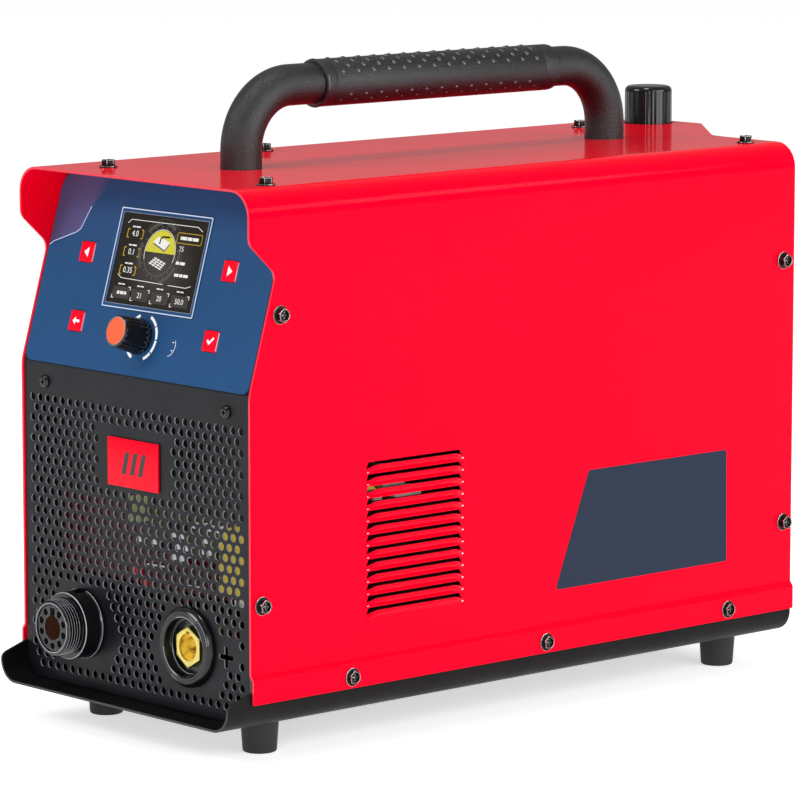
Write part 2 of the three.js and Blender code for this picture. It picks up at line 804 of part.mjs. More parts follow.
function gaugeNeedle() {
  const pointer = outline([
    [-0.9, -3],
    [0.9, -3],
    [0.3, 10.2],
    [-0.3, 10.2],
  ]);
  return join(prismZ(pointer, 2.6, 3.2), rod('z', 1.6, 2, 3.8, [0, 0], 12));
}

function gaugeGlass() {
  return rod('z', GAUGE_RADIUS - 1.6, 4.6, 5.6, [0, 0], 24);
}

function airInlet() {
  const start = REGULATOR_X - REGULATOR_WIDTH / 2;
  const at = [REGULATOR_Y, ELBOW_Z];
  const neck = rod('x', 6.2, start - 3, start + 6, at, 16);
  const hex = prismX(hexagon(9.4, at), start - 9, start - HIDDEN_GAP);
  const plug = rod('x', 5, start - 24, start - 8, at, 16);
  const bore = rod('x', 3.2, start - 30, start + 10, at, 12);
  return cut(join(neck, hex, plug), bore);
}

function airElbow() {
  const start = REGULATOR_X + REGULATOR_WIDTH / 2;
  const at = [REGULATOR_Y, ELBOW_Z];
  const neck = rod('x', 6.2, start - 6, ELBOW_X, at, 16);
  const centre = [ELBOW_X, REGULATOR_Y, ELBOW_Z];
  const corner = block(centre.map((value) => value - 6.5), centre.map((value) => value + 6.5));
  const leg = rod('y', 6.2, REAR_Y - 12, REGULATOR_Y, [ELBOW_X, ELBOW_Z], 16);
  return join(neck, corner, leg);
}

// ---- Inside ----

function airHose() {
  const points = [
    [ELBOW_X, REAR_Y - 12.8, ELBOW_Z],
    [ELBOW_X, REAR_Y - 30, ELBOW_Z],
    [ELBOW_X - 6, REAR_Y - 60, ELBOW_Z - 8],
    [-50, 330, 240],
    [-70, 220, 150],
    [-66, 150, 96],
    [VALVE_X, 120, 81],
    [VALVE_X, 106, 81],
  ].map((point) => new THREE.Vector3(...point));
  const curve = new THREE.CatmullRomCurve3(points, false, 'centripetal');
  const section = outline(arcPoints([0, 0], 4, 0, 315, 7));
  return new THREE.ExtrudeGeometry(section, { steps: 30, extrudePath: curve });
}

function solenoidValve() {
  const body = block([VALVE_X - 14, 78, 70], [VALVE_X + 14, 105, 92]);
  const coil = block([VALVE_X - 15, 79, 91], [VALVE_X + 15, 104, 122]);
  const bonnet = rod('z', 6, 121, 127, [VALVE_X, 91.5], 6);
  const outlet = rod('y', 6, 62, 79, [VALVE_X, 81], 12);
  return join(body, coil, bonnet, outlet);
}

function chassisPlate() {
  const floor = TRAY_BOTTOM + SHEET + FIT_GAP;
  const wall = block([-14, 60, floor], [-12.5, 415, 248]);
  const foot = block([-34, 60, floor], [-13, 415, floor + SHEET]);
  const windows = [120, 230, 340].map((y) => block([-40, y, 110], [0, y + 34, 130]));
  return cut(join(wall, foot), ...windows);
}

function heatsink() {
  const base = block([-11.5, 190, 66], [-3.5, 400, 186]);
  const fins = [];
  for (let index = 0; index < 9; index += 1) {
    const z = 68 + index * 14;
    fins.push(block([-4, 190, z], [34, 400, z + 2.4]));
  }
  return join(base, ...fins);
}

function powerBoard() {
  const board = block([-6, 110, 192], [100, 410, 193.6]);
  const cans = [150, 200, 250].map((y) => rod('z', 17, 193, 240, [70, y], 20));
  const modules = [160, 215, 270].map((y) => block([2, y, 193], [22, y + 26, 218]));
  const relay = block([40, 320, 193], [80, 360, 222]);
  return join(board, ...cans, ...modules, relay);
}

function transformerCore() {
  const outer = block([50, 96, 60], [94, 168, 128]);
  const lowWindow = block([40, 112, 74], [110, 152, 88]);
  const highWindow = block([40, 112, 100], [110, 152, 114]);
  return cut(outer, lowWindow, highWindow);
}

function transformerWinding() {
  const ring = block([42, 112.6, 74.6], [102, 151.4, 113.4]);
  return cut(ring, block([49, 100, 87.6], [95, 160, 100.4]));
}

function choke() {
  const section = arcPoints([25, 0], 11, 0, 315, 7);
  const closed = [...section, section[0]].map(([radius, height]) => [radius, height * 1.25]);
  return turned(closed, 20);
}

function fanFrame() {
  const half = FAN_SIZE / 2;
  const front = REAR_Y - SHEET - FIT_GAP - FAN_DEPTH;
  const rear = front + FAN_DEPTH;
  const outer = block([-half, front, -half], [half, rear, half]);
  const duct = rod('y', FAN_DUCT_RADIUS, front - 1, rear + 1, [0, 0], 32);
  const boss = rod('y', 19, rear - 5, rear, [0, 0], 20);
  const strut = block([-2, rear - 5, 15], [2, rear, FAN_DUCT_RADIUS + 1]);
  const struts = [45, 135, 225, 315].map((degrees) => {
    const turn = new THREE.Matrix4().makeRotationY(THREE.MathUtils.degToRad(degrees));
    return strut.clone().applyMatrix4(turn);
  });
  return join(cut(outer, duct), boss, ...struts).translate(FAN_X, 0, FAN_Z);
}

function fanRotor() {
  const rear = REAR_Y - SHEET - FIT_GAP - 6;
  const front = rear - 26;
  const hub = rod('y', 20, front, rear, [0, 0], 24);
  const blade = block([-1, front + 1, 18], [1, rear - 1, 55]);
  const pitched = blade.clone().translate(0, -(front + rear) / 2, 0);
  pitched.rotateZ(THREE.MathUtils.degToRad(38));
  pitched.translate(0, (front + rear) / 2, 0);
  const blades = [];
  for (let index = 0; index < 7; index += 1) {
    const turn = new THREE.Matrix4().makeRotationY((index * 2 * Math.PI) / 7);
    blades.push(pitched.clone().applyMatrix4(turn));
  }
  return join(hub, ...blades).translate(FAN_X, 0, FAN_Z);
}

function fanGuard() {
  const low = REAR_Y + HIDDEN_GAP;
  const high = low + 2;
  const sheet = prismY(outline(arcPoints([0, 0], 61, 0, 345, 23)), low, high);
  const slots = [];
  for (const radius of [17, 26, 35, 44, 53]) {
    for (let quarter = 0; quarter < 4; quarter += 1) {
      const start = quarter * 90 + 45 + 160 / radius;
      const end = quarter * 90 + 135 - 160 / radius;
      const outside = arcPoints([0, 0], radius + 2.8, start, end, 4);
      const inside = arcPoints([0, 0], radius - 2.8, end, start, 4);
      slots.push(prismY(outline([...outside, ...inside]), low - 1, high + 1));
    }
  }
  return cut(sheet, ...slots).translate(FAN_X, 0, FAN_Z);
}

// ---- Mains side ----

function switchBody() {
  const low = REAR_Y + HIDDEN_GAP;
  const bezel = block([-15, low, -20], [15, low + 2.2, 20]);
  const tub = block([-13, REAR_Y - 26, -18], [13, low + 1, 18]);
  const pocket = block([-10.4, REAR_Y - 12, -15.4], [10.4, low + 6, 15.4]);
  return cut(join(bezel, tub), pocket).translate(SWITCH_X, 0, SWITCH_Z);
}

// The rocker turns about the x axis, and rests with its upper half pressed in
function switchRocker() {
  const shape = outline([
    [-6, -10],
    [0, -14.2],
    [5.2, -14.2],
    [3.2, 0],
    [5.2, 14.2],
    [0, 14.2],
    [-6, 10],
  ]);
  const rocker = prismX(shape, -10, 10);
  rocker.rotateX(SWITCH_TILT);
  return rocker.translate(SWITCH_X, REAR_Y + HIDDEN_GAP, SWITCH_Z);
}

function cableGland() {
  const hex = prismZ(hexagon(15.6), HIDDEN_GAP, 7);
  const thread = rod('z', 10, -10, 1, [0, 0], 24);
  const dome = turned([
    [0, 6.5],
    [13, 6.5],
    [13, 17],
    [9.4, 24],
    [0, 24],
  ], 24);
  const bore = rod('z', 6, -20, 40, [0, 0], 20);
  const gland = cut(join(hex, thread, dome), bore);
  gland.rotateX(-Math.PI / 2);
  return gland.translate(GLAND_X, REAR_Y, GLAND_Z);
}

// ---- Assembly ----

addPart('top_cover', topCover(), FINISH.redPaint);
addPart('base_tray', baseTray(), FINISH.blackPaint);
addPart('front_panel', frontPanel(), FINISH.blackPaint);
addPart('rear_panel', rearPanel(), FINISH.blackPaint);
addPart('control_overlay', controlOverlay(), FINISH.blueOverlay, slope);
addPart('badge_plate', badgePlate(), FINISH.redPlastic, upright);

const FEET = {
  foot_front_left: [-FOOT_X, FOOT_FRONT_Y],
  foot_front_right: [FOOT_X, FOOT_FRONT_Y],
  foot_rear_left: [-FOOT_X, FOOT_REAR_Y],
  foot_rear_right: [FOOT_X, FOOT_REAR_Y],
};
for (const [name, [x, y]] of Object.entries(FEET)) {
  addPart(name, foot(), FINISH.rubber).position.set(x, y, 0);
}

const STRIP_SCREWS = { front: 78.5, middle: 242, rear: 406 };
const STRIP_SCREW_Z = 46;
for (const [place, y] of Object.entries(STRIP_SCREWS)) {
  const left = addPart(`strip_screw_left_${place}`, stripScrew(-1), FINISH.darkSteel);
  const right = addPart(`strip_screw_right_${place}`, stripScrew(1), FINISH.darkSteel);
  left.position.set(0, y, STRIP_SCREW_Z);
  right.position.set(0, y, STRIP_SCREW_Z);
}

addPart('handle_tube', handleTube(), FINISH.blackPlastic);
addPart('handle_grip', handleGrip(), FINISH.rubber);

addPart('lcd_bezel', lcdBezel(), FINISH.silver, slope);
addPart('lcd_glass', lcdGlass(), FINISH.glass, slope);
addPart('lcd_module', lcdModule(), FINISH.blackPlastic, slope);
addPart('control_board', controlBoard(), FINISH.board, slope);
for (const [name, [x, up]] of Object.entries(KEYS)) {
  addPart(name, keyCap(x, up), FINISH.redPlastic, slope);
}
addPart('encoder_body', encoderBody(), FINISH.silver, slope);
addPart('encoder_shaft', encoderShaft(), FINISH.steel, slope);
addPart('encoder_knob', encoderKnob(), FINISH.glossBlack, slope);
addPart('encoder_cap', encoderCap(), FINISH.orangePlastic, slope);

addPart('torch_socket_housing', torchHousing(), FINISH.blackPlastic, upright);
addPart('torch_socket_insert', torchInsert(), FINISH.blackPlastic, upright);
addPart('torch_socket_pin', torchPin(), FINISH.brass, upright);
addPart('torch_socket_nut', torchNut(), FINISH.blackPlastic, upright);
addPart('work_socket_housing', workHousing(), FINISH.blackPlastic, upright);
addPart('work_socket_contact', workContact(), FINISH.brass, upright);
addPart('work_socket_nut', workNut(), FINISH.brass, upright);

const regulator = new THREE.Group();
regulator.position.set(REGULATOR_X, REGULATOR_Y, 0);
machine.add(regulator);
addPart('regulator_body', regulatorBody(), FINISH.aluminium, regulator);
addPart('regulator_knob', regulatorKnob(), FINISH.glossBlack, regulator);
addPart('filter_bowl', filterBowl(), FINISH.glass, regulator);
addPart('regulator_bracket', regulatorBracket(), FINISH.steel);

const gauge = new THREE.Group();
gauge.position.set(REGULATOR_X, REGULATOR_Y + REGULATOR_DEPTH / 2 + HIDDEN_GAP, GAUGE_Z);
gauge.rotation.set(-Math.PI / 2, 0, 0);
machine.add(gauge);
addPart('gauge_case', gaugeCase(), FINISH.blackPlastic, gauge);
addPart('gauge_needle', gaugeNeedle(), FINISH.blackPlastic, gauge);
addPart('gauge_glass', gaugeGlass(), FINISH.glass, gauge);

addPart('air_inlet', airInlet(), FINISH.brass);
addPart('air_elbow', airElbow(), FINISH.brass);
addPart('air_hose', airHose(), FINISH.hose);
addPart('solenoid_valve', solenoidValve(), FINISH.brass);

addPart('chassis_plate', chassisPlate(), FINISH.steel);
addPart('heatsink', heatsink(), FINISH.aluminium);
addPart('power_board', powerBoard(), FINISH.board);
addPart('transformer_core', transformerCore(), FINISH.ferrite);
addPart('transformer_winding', transformerWinding(), FINISH.yellowTape);
addPart('choke', choke(), FINISH.yellowTape).position.set(62, 60, 150);

addPart('fan_frame', fanFrame(), FINISH.blackPlastic);
addPart('fan_rotor', fanRotor(), FINISH.blackPlastic);
addPart('fan_guard', fanGuard(), FINISH.darkSteel);

addPart('power_switch_body', switchBody(), FINISH.blackPlastic);
addPart('power_switch_rocker', switchRocker(), FINISH.redPlastic);
addPart('cable_gland', cableGland(), FINISH.blackPlastic);

// The origin is under the middle of the whole machine
const FRONTMOST_Y = PANEL_Y - TORCH_REACH;
machine.position.y = -(FRONTMOST_Y + HOOD_END_Y) / 2;

export default root;
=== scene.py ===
from math import asin, atan2, ceil, copysign, cos, degrees, hypot, pi, radians, sin, sqrt, tan

import bmesh
import bpy
from mathutils import Matrix, Vector
from mathutils.geometry import delaunay_2d_cdt


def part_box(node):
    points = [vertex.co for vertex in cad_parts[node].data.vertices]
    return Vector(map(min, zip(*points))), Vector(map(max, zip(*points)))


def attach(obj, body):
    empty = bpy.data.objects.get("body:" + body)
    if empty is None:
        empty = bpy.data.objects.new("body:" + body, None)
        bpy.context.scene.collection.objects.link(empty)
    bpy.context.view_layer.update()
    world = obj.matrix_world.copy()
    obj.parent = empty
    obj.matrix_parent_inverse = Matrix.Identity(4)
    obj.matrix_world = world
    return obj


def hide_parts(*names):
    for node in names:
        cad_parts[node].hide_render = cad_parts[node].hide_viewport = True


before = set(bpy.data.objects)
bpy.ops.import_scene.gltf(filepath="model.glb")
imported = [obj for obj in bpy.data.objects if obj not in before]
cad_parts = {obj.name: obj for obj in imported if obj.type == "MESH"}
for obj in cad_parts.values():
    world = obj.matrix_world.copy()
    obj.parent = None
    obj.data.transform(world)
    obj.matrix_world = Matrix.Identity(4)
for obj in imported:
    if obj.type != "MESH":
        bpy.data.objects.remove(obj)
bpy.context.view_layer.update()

# ---- Frames and driving dimensions, in millimetres unless a name says otherwise ----

MM = 0.001
COVER_LOW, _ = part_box("top_cover")
CASE_WIDTH = 222.0
CASE_LENGTH = 468.0
SHEET = 1.5
FOOT_HEIGHT = 23.0
COVER_TOP = 348.0
COVER_BOTTOM = 39.0
COVER_BEND = 16.0
FLAT_TOP_X = CASE_WIDTH / 2 - COVER_BEND
SIDE_FACE = CASE_WIDTH / 2
STRIP_OUT = 2.5
INNER_HALF = 109.1
PANEL_Y = 1.0
BEND_Z = 225.6
SLANT_TOP_Y = 21.0
SLANT_TOP_Z = 297.3
VISOR_Z = 316.5
SLANT = atan2(SLANT_TOP_Y, SLANT_TOP_Z - BEND_Z)
REAR_Y = CASE_LENGTH - 2.0
SOCKET_X = 51.5
SOCKET_Z = 65.8
TORCH_HOLE, WORK_HOLE = 18.8, 19.2
LCD_UP = 72.0
ENCODER_UP = 25.0
REGULATOR_X, REGULATOR_Y = -64.0, 506.5
HANDLE_FRONT_Y, HANDLE_REAR_Y = 87.5, 401.5
HANDLE_AXIS_Z = 397.8
HANDLE_RADIUS, HANDLE_HOLE, REGULATOR_HOLE = 13.0, 13.3, 17.6
FAN_X, FAN_Z = 35.0, 125.0

# The machine's own frame has y = 0 at the cover's front edge
MACHINE = Matrix.Translation((0, COVER_LOW.y, 0)) @ Matrix.Scale(MM, 4)
SLOPE = MACHINE @ Matrix.Translation((0, PANEL_Y, BEND_Z)) @ Matrix.Rotation(pi / 2 - SLANT, 4, "X")
UPRIGHT = MACHINE @ Matrix.Translation((0, PANEL_Y, 0)) @ Matrix.Rotation(pi / 2, 4, "X")
REAR = MACHINE @ Matrix.Translation((0, REAR_Y, 0)) @ Matrix.Rotation(-pi / 2, 4, "X")
TO_RIGHT = Matrix.Rotation(pi / 2, 4, "Y")
TO_LEFT = Matrix.Rotation(-pi / 2, 4, "Y")
TO_BACK = Matrix.Rotation(-pi / 2, 4, "X")
TO_FRONT = Matrix.Rotation(pi / 2, 4, "X")
SIDES = (("left", -1, TO_LEFT), ("right", 1, TO_RIGHT))
# Flat outlines given as (x, z) with their depth along y, and as (y, z) with their depth along x
FACING = Matrix(((1, 0, 0, 0), (0, 0, 1, 0), (0, 1, 0, 0), (0, 0, 0, 1)))
SIDEWAYS = Matrix(((0, 0, 1, 0), (1, 0, 0, 0), (0, 1, 0, 0), (0, 0, 0, 1)))


def shift(x, y, z=0.0):
    return Matrix.Translation((x, y, z))


# ---- Finishes ----

# What a noise texture mostly stays between, and the smoothest that any surface is
NOISE_LOW, NOISE_HIGH = 0.3, 0.7
LEAST_ROUGHNESS = 0.02


def srgb(red, green, blue):
    """A colour given as a screen shows it, as linear values."""
    def linear(value):
        share = value / 255
        return share / 12.92 if share <= 0.04045 else ((share + 0.055) / 1.055) ** 2.4
    return (linear(red), linear(green), linear(blue), 1.0)


def scaled(colour, factor):
    return (*(min(1.0, c * factor) for c in colour[:3]), 1.0)


def node(tree, kind, values, sources):
    """A node with its values set and its inputs linked to other nodes' outputs."""
    made = tree.nodes.new("ShaderNode" + kind)
    for socket, value in values.items():
        made.inputs[socket].default_value = value
    for socket, source in sources.items():
        tree.links.new(source, made.inputs[socket])
    return made


def noise_of(tree, scale, detail=3.0, vector=None):
    """A noise texture in the object's own coordinates, unless another vector is given."""
    vector = vector or tree.nodes.new("ShaderNodeTexCoord").outputs["Object"]
    return node(tree, "TexNoise", {"Scale": scale, "Detail": detail}, {"Vector": vector}).outputs["Fac"]


def mapped(tree, scale, location=(0.0, 0.0, 0.0)):
    """The object's own coordinates, stretched and moved."""
    coords = tree.nodes.new("ShaderNodeTexCoord").outputs["Object"]
    return node(tree, "Mapping", {"Scale": scale, "Location": location}, {"Vector": coords}).outputs["Vector"]


def relief(tree, height, strength, depth):
    """A fine relief on the surface, its depth in millimetres."""
    bump = node(tree, "Bump", {"Strength": strength, "Distance": depth * MM}, {"Height": height})
    tree.links.new(bump.outputs["Normal"], tree.nodes["Principled BSDF"].inputs["Normal"])


def finish(name, colour, roughness, metallic=0.0, ior=1.45, mottle=(0.06, 25), smear=(0.06, 40),
           grain=None, direct=None):
    """A procedural finish: colour that varies, roughness that varies, and a fine relief.

    mottle and smear are (amount, scale), and grain is (strength, scale, depth in mm).
    """
    material = bpy.data.materials.new(name)
    material.use_nodes = True
    tree = material.node_tree
    shader = tree.nodes["Principled BSDF"]
    shader.inputs["Metallic"].default_value = metallic
    shader.inputs["IOR"].default_value = ior
    for socket, value in (direct or {}).items():
        shader.inputs[socket].default_value = value

    blend = tree.nodes.new("ShaderNodeMix")
    blend.data_type = "RGBA"
    blend.inputs["A"].default_value = scaled(colour, 1 - mottle[0])
    blend.inputs["B"].default_value = scaled(colour, 1 + mottle[0])
    tree.links.new(noise_of(tree, mottle[1]), blend.inputs["Factor"])
    tree.links.new(blend.outputs["Result"], shader.inputs["Base Color"])

    limits = {"From Min": NOISE_LOW, "From Max": NOISE_HIGH, "To Max": min(1.0, roughness + smear[0]),
              "To Min": max(LEAST_ROUGHNESS, roughness - smear[0])}
    spread = node(tree, "MapRange", limits, {"Value": noise_of(tree, smear[1])})
    tree.links.new(spread.outputs["Result"], shader.inputs["Roughness"])
    if grain:
        strength, scale, depth = grain
        relief(tree, noise_of(tree, scale, 4.0), strength, depth)
    return material


def lit_by(material, texture, stops, strength):
    """Gives a finish a glow whose colour follows a texture through two (position, colour) stops."""
    tree = material.node_tree
    ramp = node(tree, "ValToRGB", {}, {"Fac": texture})
    for element, (position, colour) in zip(ramp.color_ramp.elements, stops):
        element.position = position
        element.color = srgb(*colour)
    shader = tree.nodes["Principled BSDF"]
    tree.links.new(ramp.outputs["Color"], shader.inputs["Emission Color"])
    shader.inputs["Emission Strength"].default_value = strength
    return material


def screen_finish():
    """The lit display: dark brown, greyer and lighter round its middle."""
    material = finish("screen", srgb(8, 6, 4), 0.1, mottle=(0.02, 60), smear=(0.02, 80))
    tree = material.node_tree
    half_width, half_height, middle_z = 0.034, 0.026, 0.293
    place = mapped(tree, (1 / half_width, 0.0, 1 / half_height), (-0.1, 0.0, -middle_z / half_height))
    spread = node(tree, "TexGradient", {}, {"Vector": place})
    spread.gradient_type = "SPHERICAL"
    return lit_by(material, spread.outputs["Fac"], ((0.0, (24, 19, 11)), (0.8, (64, 60, 58))), 1.0)


def bore_finish():
    """Turned brass in the bore, its rings lighter and darker along the depth, given a glow: painted light and
    painted highlights.
    """
    material = finish("bore_brass", srgb(120, 84, 20), 0.25, metallic=1.0, mottle=(0.2, 300))
    tree = material.node_tree
    rings = noise_of(tree, 330, 2, mapped(tree, (0.6, 0.2, 0.25)))
    return lit_by(material, rings, ((0.42, (132, 84, 8)), (0.58, (236, 192, 62))), 0.8)


def brushed_finish(name, colour, roughness):
    """Turned or brushed metal, its fine lines drawn along one axis."""
    material = finish(name, colour, roughness, metallic=1.0, mottle=(0.05, 20))
    tree = material.node_tree
    relief(tree, noise_of(tree, 60, vector=mapped(tree, (1.0, 1.0, 30.0))), 0.25, 0.1)
    return material


def glow_finish(name, colour, strength):
    """A surface that is lit from within."""
    material = finish(name, scaled(colour, 0.2), 0.4, mottle=(0.05, 90))
    shader = material.node_tree.nodes["Principled BSDF"]
    shader.inputs["Emission Color"].default_value = colour
    shader.inputs["Emission Strength"].default_value = strength
    return material


def clear_finish(name, colour, roughness):
    return finish(name, colour, roughness, mottle=(0.03, 30), smear=(0.02, 60),
                  direct={"Transmission Weight": 1.0})


VIOLET, OVERLAY_BLUE = (72, 76, 118), (28, 70, 114)
TINT_STEPS, TINT_STEP = 5, 2.2

F = {
    "red": finish("red_paint", srgb(246, 0, 34), 0.12, ior=1.16, mottle=(0.03, 8), smear=(0.03, 30),
                  grain=(0.05, 240, 0.08), direct={"Specular Tint": (1.0, 0.1, 0.2, 1.0)}),
    # Painted highlight: the cover's cut edges, paler than its paint, where they catch the light
    "red_rim_highlight": finish("red_rim_highlight", srgb(216, 40, 60), 0.3, mottle=(0.05, 60)),
    # Painted highlight: the front panel's cut edges and hole walls, pale grey where they catch the light
    "black_rim_highlight": finish("black_rim_highlight", srgb(150, 154, 164), 0.35, mottle=(0.15, 300)),
    "violet": finish("violet_print", srgb(*VIOLET), 0.5, ior=1.25, grain=(0.1, 1600, 0.04)),
    "print_blue": finish("blue_white_print", srgb(196, 210, 240), 0.5, ior=1.2, grain=(0.08, 900, 0.02)),
    # Painted highlight: the glints at the louvres' corners
    "glint": finish("painted_louvre_glint", srgb(255, 232, 234), 0.3, mottle=(0.05, 400)),
    "black": finish("black_paint", srgb(13, 15, 20), 0.4, ior=1.3, grain=(0.35, 1100, 0.12)),
    # Painted highlight: the tray's cut edges, lighter than its paint, where they catch the light
    "tray_rim_highlight": finish("tray_rim_highlight", srgb(30, 31, 34), 0.35, mottle=(0.4, 500)),
    "tray_black": finish("tray_paint", srgb(12, 12, 14), 0.45, ior=1.2, grain=(0.35, 1100, 0.12)),
    "overlay": finish("blue_overlay", srgb(*OVERLAY_BLUE), 0.5, ior=1.25, grain=(0.12, 1600, 0.05)),
    "print_white": finish("white_print", srgb(246, 249, 254), 0.45, grain=(0.08, 900, 0.02)),
    "plastic": finish("black_plastic", srgb(12, 12, 14), 0.2, grain=(0.12, 700, 0.05)),
    "gloss": finish("gloss_black", srgb(10, 10, 12), 0.12, mottle=(0.1, 60), smear=(0.04, 50),
                    grain=(0.05, 400, 0.03)),
    "leather": finish("grained_black", srgb(12, 14, 18), 0.34, ior=1.52, mottle=(0.5, 900),
                      grain=(1.0, 1200, 0.5)),
    "pip": finish("pip", srgb(40, 42, 46), 0.22, ior=1.9, mottle=(0.2, 500)),
    "rubber": finish("rubber", srgb(22, 24, 26), 0.62, mottle=(0.2, 500), grain=(0.4, 900, 0.15)),
    # Painted highlight: the keys' lit right sides
    "key_edge": finish("painted_key_highlight", srgb(255, 208, 216), 0.2),
    # Painted highlight: pale edges on the connectors, where they catch the light
    "edge_grey": finish("painted_edge_glint", srgb(156, 160, 166), 0.25, mottle=(0.3, 700)),
    "face_grey": finish("moulded_face", srgb(28, 28, 30), 0.35, mottle=(0.5, 900), grain=(0.6, 1200, 0.2)),
    "bore_brass": bore_finish(),
    "key": finish("red_plastic", srgb(240, 0, 34), 0.3, ior=1.18, mottle=(0.03, 90), grain=(0.08, 900, 0.03)),
    "orange": finish("orange_plastic", srgb(250, 92, 52), 0.38, mottle=(0.04, 80), grain=(0.1, 900, 0.03)),
    "silver": brushed_finish("silver", srgb(205, 210, 216), 0.28),
    "screen": screen_finish(),
    "bowl": clear_finish("clear_bowl", srgb(226, 232, 230), 0.08),
    "glass": clear_finish("glass", srgb(245, 248, 248), 0.02),
    "board": finish("board", srgb(24, 84, 52), 0.4, mottle=(0.4, 260), grain=(0.2, 600, 0.1)),
    "brass": finish("brass", srgb(206, 190, 108), 0.3, metallic=1.0, mottle=(0.08, 60),
                    grain=(0.08, 500, 0.05)),
    "aluminium": brushed_finish("aluminium", srgb(190, 193, 196), 0.36),
    "cast": finish("cast_aluminium", srgb(176, 179, 183), 0.45, metallic=1.0, grain=(0.5, 700, 0.2)),
    "steel": finish("steel", srgb(170, 172, 176), 0.3, metallic=1.0, mottle=(0.1, 50),
                    grain=(0.1, 400, 0.05)),
    # Painted shade: the screws' dishes and cross recesses, darker than the heads
    "recess": finish("recess", srgb(5, 5, 6), 0.35, ior=1.25, mottle=(0.2, 300)),
    # Painted highlight: the screws' eased edges, bright where they catch the light
    "screw_edge_highlight": finish("screw_edge_highlight", srgb(225, 222, 218), 0.2, metallic=1.0, mottle=(0.15, 200)),
    "dark_steel": finish("dark_steel", srgb(9, 8, 9), 0.4, ior=1.3, mottle=(0.15, 120),
                         grain=(0.1, 500, 0.05)),
    "ferrite": finish("ferrite", srgb(52, 50, 54), 0.6, mottle=(0.2, 200), grain=(0.5, 500, 0.2)),
    # Painted shade: a near-black card behind the right louvres
    "dark_card": finish("dark_card", srgb(26, 2, 5), 0.8, ior=1.2, mottle=(0.3, 150)),
    "tape": finish("yellow_tape", srgb(240, 220, 90), 0.3, mottle=(0.12, 180), grain=(0.3, 260, 0.2)),
    "white": finish("white_plastic", srgb(226, 226, 220), 0.45, mottle=(0.05, 90), grain=(0.1, 700, 0.05)),
    "hose": finish("hose", srgb(36, 92, 176), 0.3, mottle=(0.05, 60), grain=(0.1, 300, 0.05)),
    "deep_red": finish("deep_red", srgb(52, 4, 14), 0.4, mottle=(0.2, 200)),
    "wire_red": finish("red_wire", srgb(206, 20, 30), 0.4, mottle=(0.08, 90), grain=(0.1, 600, 0.05)),
    "card": finish("insulation_card", srgb(22, 24, 12), 0.6, mottle=(0.15, 120), grain=(0.3, 500, 0.1)),
    "label": finish("label_film", srgb(32, 42, 60), 0.45, ior=1.2, mottle=(0.05, 30),
                    grain=(0.1, 1500, 0.03)),
}

# The display's marks, lit from behind, and painted light: the frame's line round the display, the torch
# connector's bore lining and the parts inside that show through the holes glow though none is a lamp. Colour
# and strength of the glow
GLOWS = {
    "lit_white": ((226, 226, 220), 0.9),
    "lit_line": ((205, 220, 246), 0.75),
    "lit_grey": ((120, 120, 122), 0.6),
    "lit_dim": ((70, 68, 64), 0.85),
    "lit_shade": ((50, 47, 42), 0.85),
    "lit_yellow": ((226, 218, 52), 0.62),
    "lit_amber": ((196, 158, 30), 0.7),
    "bore_brown": ((62, 34, 24), 0.5),
    "tape_lit": ((206, 184, 70), 0.5),
    "film_block": ((206, 206, 214), 0.6),
    "fuse_green": ((150, 156, 96), 0.45),
    "red_card": ((58, 7, 15), 0.6),
    "olive_card": ((44, 44, 22), 0.7),
}
for glow, (glow_colour, glow_strength) in GLOWS.items():
    F[glow] = glow_finish(glow, srgb(*glow_colour), glow_strength)

# The overlay's violet corner fades to its blue in steps
for step in range(1, TINT_STEPS + 1):
    mixed = [a + (b - a) * (step / (TINT_STEPS + 1)) for a, b in zip(VIOLET, OVERLAY_BLUE)]
    F[f"violet_{step}"] = finish(f"violet_{step}", srgb(*mixed), 0.5, ior=1.25, grain=(0.1, 1600, 0.04))

# ---- Outlines in two dimensions ----


def arc(radius, start, end, steps, centre=(0.0, 0.0)):
    """Points on an arc, in degrees, both ends included."""
    angles = [radians(start + (end - start) * step / steps) for step in range(steps + 1)]
    return [Vector((centre[0] + radius * cos(a), centre[1] + radius * sin(a))) for a in angles]


def circle(radius, sides=40, centre=(0.0, 0.0), turn=0.0):
    return arc(radius, turn, turn + 360 - 360 / sides, sides - 1, centre)


def rounded(corners, step=10):
    """A closed outline whose (x, y, radius) corners are rounded."""
    outline = []
    for index, (x, y, radius) in enumerate(corners):
        corner = Vector((x, y))
        if radius == 0:
            outline.append(corner)
            continue
        before = (Vector(corners[index - 1][:2]) - corner).normalized()
        after = (Vector(corners[(index + 1) % len(corners)][:2]) - corner).normalized()
        half = before.angle(after) / 2
        centre = corner + (before + after).normalized() * radius / sin(half)
        start = corner + before * radius / tan(half) - centre
        end = corner + after * radius / tan(half) - centre
        sweep = atan2(start.x * end.y - start.y * end.x, start.dot(end))
        steps = max(2, ceil(abs(degrees(sweep)) / step))
        for k in range(steps + 1):
            outline.append(centre + Matrix.Rotation(sweep * k / steps, 2) @ start)
    return outline


def rectangle(width, height, radius=0.0, centre=(0.0, 0.0)):
    x, y = centre
    halves = [(-1, -1), (1, -1), (1, 1), (-1, 1)]
    return rounded([(x + a * width / 2, y + b * height / 2, radius) for a, b in halves], 15)


def cross(reach, arm, centre=(0.0, 0.0)):
    """A plus sign of the given half length and arm width."""
    h = arm / 2
    corner = [(h, reach), (h, h), (reach, h)]
    points = []
    for quarter in range(4):
        turn = Matrix.Rotation(-quarter * pi / 2, 2)
        points += [turn @ Vector(p) + Vector(centre) for p in corner]
    return points


def counterclockwise(points):
    area = sum(a.x * b.y - b.x * a.y for a, b in zip(points, points[1:] + points[:1]))
    return points if area > 0 else points[::-1]


